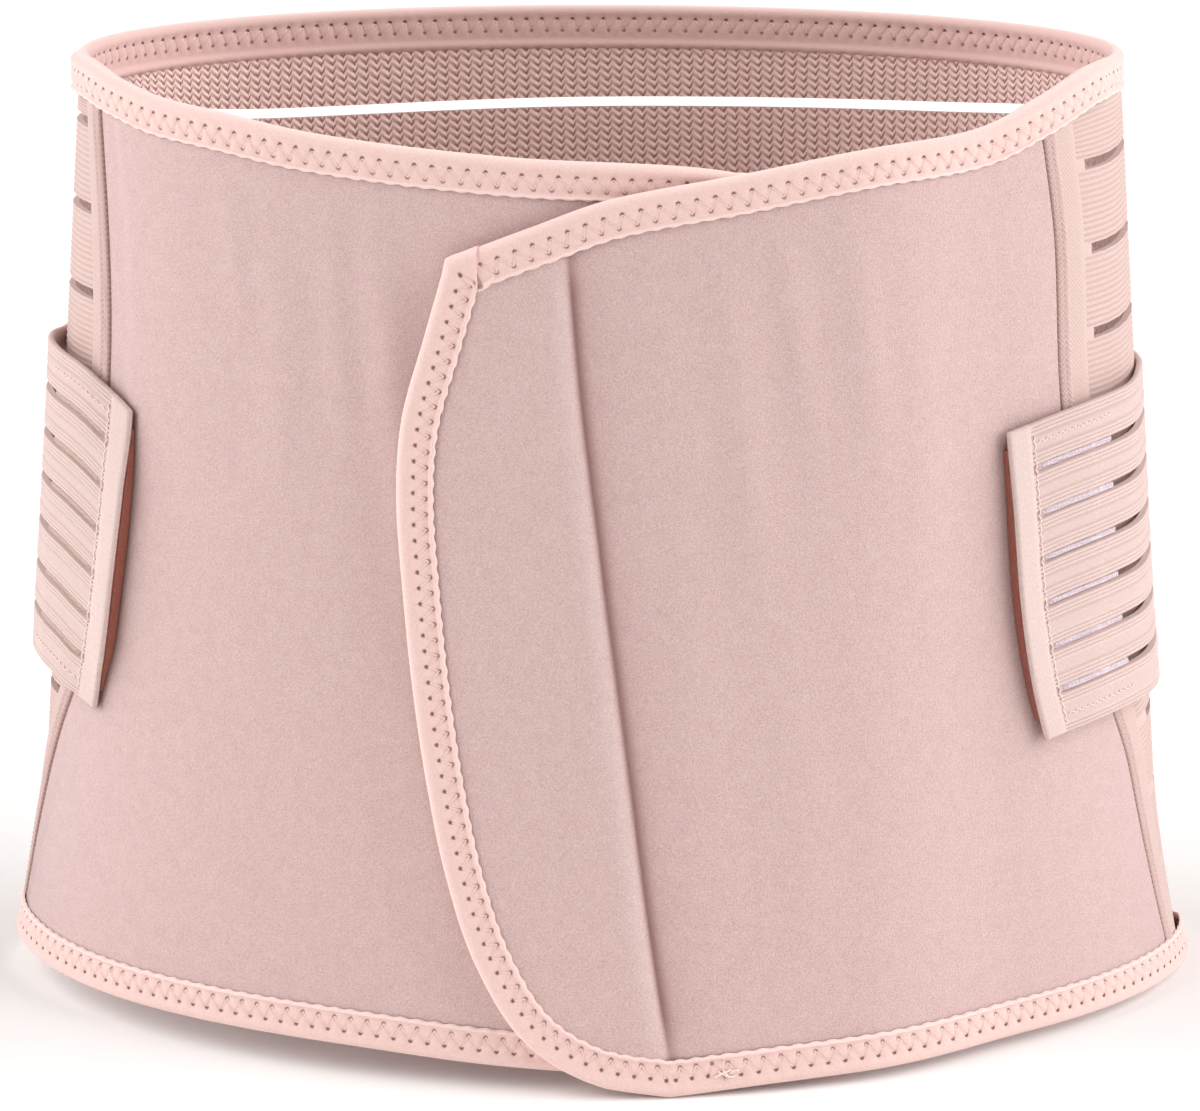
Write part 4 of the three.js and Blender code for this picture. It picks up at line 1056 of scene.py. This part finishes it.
def edge_press(places):
    """How far the face sinks under the tape: 0.5 mm up to 7.5 mm from the grid's first column and its
    rows' ends, and then 0.5 exp(-((d - 7.5)/1.6)^2)."""
    points = on_body(places[..., 0], places[..., 1])
    across = np.cumsum(np.linalg.norm(np.diff(points, axis=0), axis=-1), 0)
    across = np.concatenate([np.zeros((1, across.shape[1])), across])
    up = np.cumsum(np.linalg.norm(np.diff(points, axis=1), axis=-1), 1)
    up = np.concatenate([np.zeros((up.shape[0], 1)), up], 1)
    near = np.minimum(np.minimum(across, up), up[:, -1:] - up)
    return 0.5 * np.exp(-((np.maximum(near - 7.5, 0) / 1.6) ** 2))


steps = np.linspace(0, 1, 90)
left_edge = beside(end_places(np.linspace(END_TURN, 0, 200)), -EDGE_INSET)
left_edge[-1] = inside_corner(*upper_bend, EDGE_INSET)
sewn = upright(SEWN_LINE, steps)
right_edge = upright(FELT_EDGE["right"], steps)
lower_edge = np.concatenate(
    [end_places(np.linspace(END_TURN, len(OUTER_END) - 1, 60)), hem_places(np.array([sewn[0, 0]]))]
)
rim_near = rim_places(np.linspace(upper_corner[0], sewn[-1, 0], 30))
rim_far = rim_places(np.linspace(sewn[-1, 0], right_edge[-1, 0], 60))
hem_far = hem_places(np.linspace(sewn[0, 0], right_edge[0, 0], 60))
near_columns = 1 - (1 - np.linspace(0, 1, 46)) ** 1.5
far_columns = np.linspace(0, 1, 96) ** 1.5
near_ends = beside(lower_edge, EDGE_INSET), beside(rim_near, -EDGE_INSET)
far_ends = beside(hem_far, EDGE_INSET), beside(rim_far, -EDGE_INSET)
near_part = coons(left_edge, sewn, *near_ends, near_columns, 140)
far_part = coons(sewn, right_edge, *far_ends, far_columns, 140)
outer_places = np.concatenate([near_part[:-1], far_part])
under_rim = rim_places(outer_places[..., 0])[..., 1] - outer_places[..., 1]
fade = smooth(9, 24, outer_places[..., 1]) * smooth(9, 22, under_rim)
sewn_height, sewn_shade = sewn_relief(outer_places)
make_felt(
    "outer_panel_felt",
    "outer_front_panel",
    outer_places,
    lap_lift(outer_places[..., 0]),
    mix(0.45, 1, fade) * sewn_height + wrinkles(outer_places),
    sewn_shade * mix(0.5, 1, fade),
)

left_side = upright(FELT_EDGE["left"], steps)
hem_inner = hem_places(np.linspace(left_side[0, 0], INNER_END, 80))
rim_inner = rim_places(np.linspace(left_side[-1, 0], INNER_END, 80))
inner_right = beside(mix(lower_inner, upper_inner, steps[:, None]), EDGE_INSET)
inner_places = coons(
    left_side,
    inner_right,
    beside(hem_inner, EDGE_INSET),
    beside(rim_inner, -EDGE_INSET),
    np.linspace(0, 1, 120),
    130,
)
inner_angle, inner_z = inner_places[..., 0], inner_places[..., 1]
# Painted shadow: the felt is painted darker under the left tab, whose width is some 0.33 of HEIGHT
share_up = (inner_z / HEIGHT - follow(STRAP_ROWS, inner_angle, 2)) / 0.33
under_tab = (follow(TAB_ENDS["left"], share_up) - inner_angle) * per_degree(inner_angle, inner_z)
painted_tab_shadow = smooth(-1.2, 0.6, under_tab) * smooth(-0.02, 0.02, share_up) * (1 - smooth(0.98, 1.02, share_up))
make_felt(
    "inner_panel_felt",
    "inner_front_panel",
    inner_places,
    0.0,
    wrinkles(inner_places),
    painted_tab_shadow,
)


# The back elastic


def felt_side(side, z, distance):
    """Angle at a distance from the felt into the back."""
    angle = follow(FELT_EDGE[side], z / HEIGHT)
    return angle + INTO[side] * distance / per_degree(angle, z)


def back_levels():
    """Heights of the elastic's rows at the centre back: four to each rib, none across a slot."""
    slots = HEIGHT - FIRST_SLOT - SLOT_PITCH * np.arange(SLOT_COUNT)[::-1]
    edges = np.stack([slots - SLOT_OPENING / 2, slots + SLOT_OPENING / 2], -1).ravel()
    edges = np.concatenate([[0.0], edges, [HEIGHT]])
    rows, open_rows = [0.0], []
    for low, high in zip(edges[:-1:2], edges[1::2]):
        count = max(2, round((high - low) / RIB_PITCH * 4))
        rows.extend(np.linspace(low, high, count + 1)[0 if rows[-1] != low else 1 :])
        open_rows.append(len(rows) - 1)
    return np.array(rows), open_rows[:-1], edges


def back_height(level, angle, edges):
    """Height of a row at an angle: the slots follow SLOT_RISE, and the first and last rows the tapes."""
    rise = SLOT_PITCH * follow(SLOT_RISE, angle)
    foot = hem_places(angle)[..., 1] + EDGE_INSET
    head = rim_places(angle)[..., 1] - EDGE_INSET
    low, high = edges[1], edges[-2]
    z = level + rise
    z = np.where(level < low, mix(foot, low + rise, np.minimum(level, low) / low), z)
    share = (np.maximum(level, high) - high) / (HEIGHT - high)
    return np.where(level > high, mix(high + rise, head, share), z)


# Angles whose heights the elastic's ends take, and how much later the lower slots start on the right
RIGHT_END, LEFT_END = 60.0, 290.0
LOW_SLOT_DELAY = 8.0
CORD_RISE = 0.34

levels, open_rows, level_edges = back_levels()
right_z = back_height(levels, np.full_like(levels, RIGHT_END), level_edges)
left_z = back_height(levels, np.full_like(levels, LEFT_END), level_edges)
right_margin = SLOT_MARGIN["right"] + LOW_SLOT_DELAY * (1 - smooth(70, 95, right_z))
marks = np.stack(
    [
        felt_side("right", right_z, ELASTIC_START),
        felt_side("right", right_z, right_margin),
        felt_side("left", left_z, SLOT_MARGIN["left"]),
        felt_side("left", left_z, ELASTIC_START),
    ]
)
across = np.concatenate([np.linspace(0, 1, 6)[:-1], np.linspace(1, 2, 52)[:-1], np.linspace(2, 3, 5)])
zone = np.minimum(across.astype(int), 2)
back_angle = mix(marks[zone], marks[zone + 1], (across - zone)[:, None])
back_z = back_height(levels[None, :], back_angle, level_edges)
solid = np.ones((len(across) - 1, len(levels) - 1), bool)
middle_of = (across[:-1] + across[1:]) / 2
solid[np.ix_((middle_of > 1) & (middle_of < 2), open_rows)] = False
cords = np.abs(np.cos(math.pi * levels / RIB_PITCH)) ** 0.8
ribs = CORD_RISE * (cords - 0.6)
back_grids = (
    on_body(back_angle, back_z, ELASTIC_FACE + ribs[None, :]),
    on_body(back_angle, back_z, ELASTIC_FACE - ELASTIC),
)
from_side = np.minimum(np.abs(back_angle - 90), np.abs(back_angle - 270))
# Painted shade in the hollows between the cords outside, and plain painted shade on the knit inside near the
# sides
back = make_wall(
    "back_ribbed_elastic",
    back_grids,
    grid_cloth(back_angle, levels + 0 * back_angle),
    [ELASTIC_FINISH, KNIT_FINISH, SHADED_SLOT_EDGE_FINISH],
    "back_elastic",
    (1 - cords, 1 - smooth(13, 24, from_side)),
    solid,
    2,
)
declare_cloth(back, (back_grids[0] + back_grids[1]) / 2, solid)


# The side bands


def make_band(side):
    """The twill band over the join of felt and elastic. Beside the felt runs a narrow braid: two rows
    of slanted strands, |sin| ridges that meet in a V."""
    width = BAND_WIDTH[side]
    braid, strand, edge = 5.4, 1.6, 0.3
    across = np.linspace(edge, braid + edge, 13), np.linspace(braid + 0.7, width, 5)
    across = np.concatenate(across)
    if side == "left":
        across = across[::-1]
    rows = upright(FELT_EDGE[side], np.linspace(0, 1, 620))
    places = shifted(rows[None, :], INTO[side] * across[:, None], 0.0)
    angle, z = places[..., 0], places[..., 1]
    from_middle = across - edge - braid / 2
    inside = np.clip(1 - (from_middle / (braid / 2)) ** 2, 0, 1)[:, None] ** 0.5
    strands = np.abs(np.sin(math.pi * (z / strand + np.abs(from_middle)[:, None] * 0.55)))
    spine = 1 - 0.5 * np.exp(-((from_middle[:, None] / 0.35) ** 2))
    relief = inside * (0.25 + 0.6 * strands * spine)
    # Painted shadow: a dark line along the felt's edge, with painted shade in the braid's hollows, less at
    # the braid's border
    edge_shadow = np.exp(-(((across - edge) / 0.6) ** 2))[:, None]
    edge_shadow = edge_shadow * (0.75 + 0.25 * np.cos(math.tau * z / strand))
    border = 0.5 * np.exp(-(((across - braid - edge) / 0.4) ** 2))[:, None]
    shade = 0.5 * inside * (1 - strands * spine) + edge_shadow - border
    ends = np.minimum(1, (width - across) / 0.6)[:, None] ** 0.5
    outer = on_body(angle, z, BAND_FACE + relief - 0.8 * (1 - ends))
    inner = on_body(angle, z, BAND_FACE - BAND)
    piece = make_wall(
        f"side_twill_{side}",
        (outer, inner),
        grid_cloth(angle, z, float(rows[:, 0].mean())),
        [TWILL_FINISH, TWILL_FINISH],
        f"side_band_{side}",
        (shade, 0.0),
    )
    declare_cloth(piece, (outer + inner) / 2)


# The pull straps


def strap_place(angle, share):
    """Places on the straps at a share of the width from the lower edge to the upper one."""
    bottom = follow(STRAP_ROWS, angle, 2)
    top = follow(STRAP_ROWS, angle, 1)
    return np.stack(np.broadcast_arrays(angle, HEIGHT * mix(bottom, top, share)), -1)


def from_tab(side, distance, share):
    """Angle at a distance from the tab's end edge along the strap."""
    tab = strap_place(follow(TAB_ENDS[side], share), share)
    return shifted(tab, INTO[side] * distance, 0)[..., 0]


def strap_angle(side, along, share):
    """Angles along a strap: 0 to 1 is the tab's hem, 1 to 2 the slots, and 2 to 3 the end at the back."""
    back = strap_place(np.full_like(share, CENTRE_BACK), share)
    marks = [from_tab(side, distance, share) for distance in (0.0, TAB_HEM)]
    marks += [shifted(back, -INTO[side] * distance, 0)[..., 0] for distance in (BACK_SEAM, GAP)]
    marks = np.stack(marks)
    zone = np.minimum(along.astype(int), 2)
    return mix(marks[zone], marks[zone + 1], (along - zone)[:, None])


def strap_under(side, angle, z, share):
    """Inner face of a strap: flat over the felt and the pad, then down to the elastic. The tab's end
    curls off the body by 4 s (1 - s) of its rise at the share s of its width, and its two corners lie
    down on the felt."""
    distance = np.abs(angle - follow(TAB_ENDS[side], share)) * per_degree(angle, z)
    down = smooth(PAD_LENGTH, PAD_LENGTH + STEP_DOWN, distance)
    curl = TAB_RISE[side] * np.maximum(0, 1 - distance / TAB_CURL) ** 2 * 4 * share * (1 - share)
    corner = (1 - smooth(0, 0.25, np.minimum(share, 1 - share))) * (1 - smooth(4, 16, distance))
    lying = mix(PAD + 2 * GAP, CORNER_HEIGHT[side], corner)
    return mix(lying, ELASTIC_FACE + GAP, down) + curl, distance


STRAP_WIDTH = float(np.diff(strap_place(CENTRE_BACK, np.array([0.0, 1.0]))[:, 1])[0])
STRAP_RIB = 1.1
RIB_RISE = 0.32
HEM_RISE = 0.55
EDGE_ROUND = 0.8  # how far the rounding of a strap's edges reaches in
EDGE_DROP = 0.75
HOOK_RISE = 1.3


def strap_shares():
    """Rows across a strap in millimetres from its lower edge, with the number of each slot's row, and
    the height of the ribs beside the slots and at the strap's edges, |sin|^0.7, three to each side."""
    slots = STRAP_WIDTH * np.arange(1, STRAP_SLOTS + 1) / (STRAP_SLOTS + 1)
    lows = np.concatenate([[0.0], slots + STRAP_OPENING / 2])
    highs = np.concatenate([slots - STRAP_OPENING / 2, [STRAP_WIDTH]])
    rows, open_rows, relief = [], [], []
    for low, high in zip(lows, highs):
        ribbed = 3 * STRAP_RIB
        part = np.concatenate(
            [
                np.linspace(low, low + ribbed, 13),
                np.linspace(low + ribbed, high - ribbed, 5)[1:-1],
                np.linspace(high - ribbed, high, 13),
            ]
        )
        near = np.minimum(part - low, high - part)
        ribs = RIB_RISE * np.abs(np.sin(math.pi * near / STRAP_RIB)) ** 0.7
        relief.append(np.where(near < ribbed, ribs, 0.2))
        rows.append(part)
        open_rows.append(sum(len(part) for part in rows) - 1)
    return np.concatenate(rows), open_rows[:-1], np.concatenate(relief)


def make_strap(side):
    """A pull strap: ribbed beside its slots, with a folded hem at the tab, and edges that round off as a
    quarter circle, 1 - sqrt(1 - (1 - d)^2) of EDGE_DROP at the share d of EDGE_ROUND."""
    rows, open_rows, ribs = strap_shares()
    share = rows / STRAP_WIDTH
    along = np.concatenate(
        [[0.0, 0.012, 0.035, 0.07, 0.12], np.linspace(0.2, 0.72, 5), [0.76, 0.8, 0.9]]
        + [np.linspace(1, 1.5, 28)[:-1], np.linspace(1.5, 2, 16)[:-1], np.linspace(2, 3, 4)]
    )
    angle = strap_angle(side, along, share)
    if side == "left":
        angle = angle[::-1]
        along = along[::-1]
    z = strap_place(angle, share)[..., 1]
    under, distance = strap_under(side, angle, z, share)
    hem = 1 - smooth(6.6, 7.4, distance)
    edge = np.minimum(distance, np.minimum(rows, STRAP_WIDTH - rows)[None, :])
    round_off = 1 - np.sqrt(np.clip(1 - (1 - np.minimum(edge / EDGE_ROUND, 1)) ** 2, 0, 1))
    face = under + STRAP + ribs[None, :] * (1 - hem) + HEM_RISE * hem
    outer = on_body(angle, z, face - EDGE_DROP * round_off)
    inner = on_body(angle, z, under + EDGE_DROP * round_off)
    middle_of = (along[:-1] + along[1:]) / 2
    solid = np.ones((len(along) - 1, len(rows) - 1), bool)
    solid[np.ix_((middle_of > 1) & (middle_of < 2), open_rows)] = False
    cloth = grid_cloth(angle, z)
    cloth[:, 1] = np.broadcast_to(rows, angle.shape).ravel()
    # Painted shade in the hollows between the ribs and a little over the flat weave, none on the hem; the
    # tab's hem has the dark painted-shade underside
    piece = make_wall(
        f"strap_elastic_{side}",
        (outer, inner),
        cloth,
        [STRAP_FINISH, UNDERSIDE_SHADE_FINISH],
        f"pull_strap_{side}",
        ((1 - hem) * (1 - ribs / RIB_RISE), 0.0),
        solid,
        inner_finish=np.broadcast_to((middle_of < 1)[:, None], solid.shape)[solid],
    )
    threads = strap_threads(side)
    declare_cloth(piece, (outer + inner) / 2, solid)


def strap_threads(side):
    """Zigzag seams of a strap, beside the tab's hem and along the hook pad under it: corners half a
    pitch apart, on either side of the seam by half the swing, with an arch of thread between them."""
    half_pitch, swing = 1.3, 0.8
    hem_seam, from_corner = 8.3, 3.0
    part, arch = np.array(STRAP_ARCH).T
    paths, outward = [], []
    pad_edge = PAD_MARGIN * STRAP_WIDTH
    lines = [
        (hem_seam, from_corner, hem_seam, STRAP_WIDTH - from_corner),
        (TAB_HEM, pad_edge, PAD_LENGTH, pad_edge),
        (TAB_HEM, STRAP_WIDTH - pad_edge, PAD_LENGTH, STRAP_WIDTH - pad_edge),
    ]
    for x0, y0, x1, y1 in lines:
        size = math.hypot(x1 - x0, y1 - y0)
        corner = np.arange(int(size / half_pitch) + 1)
        along, aside = corner * half_pitch, swing * (corner % 2 - 0.5)
        direction = np.array([x1 - x0, y1 - y0]) / size
        x = x0 + along * direction[0] - aside * direction[1]
        y = y0 + along * direction[1] + aside * direction[0]
        x = mix(x[:-1, None], x[1:, None], part)
        y = mix(y[:-1, None], y[1:, None], part)
        share = y / STRAP_WIDTH
        angle = from_tab(side, x, share)
        z = strap_place(angle, share)[..., 1]
        under, _ = strap_under(side, angle, z, share)
        offset = under + STRAP + STRAP_THREAD_LIFT + arch
        paths.append(on_body(angle, z, offset))
        outward.append(on_body(angle, z, offset + 1) - paths[-1])
    points, faces = tubes(np.concatenate(paths), np.concatenate(outward), STRAP_THREAD / 2)
    return make_piece(f"strap_stitches_{side}", points, faces, [PALE_THREAD_FINISH])


def make_hook_pad(side):
    """The hook pad under a tab, a flat patch whose hooks stand up in the strap's slots, and whose thick
    folded end fills the gap between the lifted tab and the felt; its underside and edges are dark red
    brown, painted shade for that gap."""
    share = np.linspace(PAD_MARGIN, 1 - PAD_MARGIN, 132)
    x = np.linspace(PAD_START, PAD_LENGTH, 24)
    if side == "left":
        x = x[::-1]
    angle = from_tab(side, x[:, None], share)
    z = strap_place(angle, share)[..., 1]
    under, _ = strap_under(side, angle, z, share)
    from_slot = np.abs((share * (STRAP_SLOTS + 1) + 0.5) % 1 - 0.5) * STRAP_WIDTH / (STRAP_SLOTS + 1)
    hooks = HOOK_RISE * (1 - smooth(0.8, 1.2, from_slot)) * smooth(TAB_HEM, TAB_HEM + 1, x)[:, None]
    face = under - 0.1 + hooks
    folded = (1 - smooth(PAD_START, 6, x))[:, None]
    inner = on_body(angle, z, np.clip(mix(under - GAP - PAD, GAP, folded), 0.1, face - 0.2))
    outer = on_body(angle, z, face)
    piece = make_wall(
        f"hook_patch_{side}",
        (outer, inner),
        grid_cloth(angle, z),
        [HOOK_FINISH[side], UNDERSIDE_SHADE_FINISH],
        f"hook_pad_{side}",
        edge_finish=1,
    )
    declare_cloth(piece, (outer + inner) / 2)


for side in ("right", "left"):
    make_band(side)
    make_strap(side)
    make_hook_pad(side)


# Floor, light and camera


paper, paper_tree = new_finish("pale_paper_floor")
paper_shader = add(paper_tree, "BsdfPrincipled", {"Base Color": linear("#fbfaf9"), "Roughness": 0.9})
add(paper_tree, "OutputMaterial", {"Surface": paper_shader}, None)
floor_mesh = bpy.data.meshes.new("floor")
floor_mesh.from_pydata([(-9, -6, 0), (9, -6, 0), (9, 14, 0), (-9, 14, 0)], [], [(0, 1, 2, 3)])
floor_mesh.materials.append(paper)
floor = bpy.data.objects.new("floor", floor_mesh)
bpy.context.scene.collection.objects.link(floor)


def soft_light(name, azimuth, elevation, softness, strength):
    """A far, wide studio light, as a sun of that many degrees across; azimuth 0 is the camera's side."""
    light = bpy.data.lights.new(name, "SUN")
    light.angle = math.radians(softness)
    light.energy = strength
    lamp = bpy.data.objects.new(name, light)
    bpy.context.scene.collection.objects.link(lamp)
    turn, rise = math.radians(azimuth), math.radians(elevation)
    aim = Vector((math.sin(turn) * math.cos(rise), -math.cos(turn) * math.cos(rise), math.sin(rise)))
    lamp.location = aim * 3
    lamp.rotation_euler = aim.to_track_quat("Z", "Y").to_euler()


soft_light("left_soft_light", -87, 25, 75, 3.3)
soft_light("right_soft_light", 84, 25, 75, 3.6)

world = bpy.data.worlds.new("white_room")
bpy.context.scene.world = world
world.use_nodes = True
world.node_tree.nodes["Background"].inputs["Color"].default_value = (1.0, 1.0, 1.0, 1.0)
world.node_tree.nodes["Background"].inputs["Strength"].default_value = 0.29
bpy.context.scene.view_settings.view_transform = "Standard"

CAMERA_DISTANCE = 1.25
CAMERA_RISE = math.radians(13)
FOCUS_PIXELS = 4411.7
TARGET_LIFT = 40.4  # pixels of the 1200 by 1111 picture that the target lies above its middle
camera_data = bpy.data.cameras.new("camera")
camera_data.sensor_width = 36.0
camera_data.lens = 36.0 * FOCUS_PIXELS / 1200
camera_data.shift_y = -TARGET_LIFT / 1200
camera_data.clip_start = 0.05
camera = bpy.data.objects.new("camera", camera_data)
bpy.context.scene.collection.objects.link(camera)
back_to = Vector((0, -math.cos(CAMERA_RISE), math.sin(CAMERA_RISE)))
camera.location = Vector((AXIS[0] / 1000, AXIS[1] / 1000, 0.13)) + back_to * CAMERA_DISTANCE
camera.rotation_euler = back_to.to_track_quat("Z", "Y").to_euler()
bpy.context.scene.camera = camera
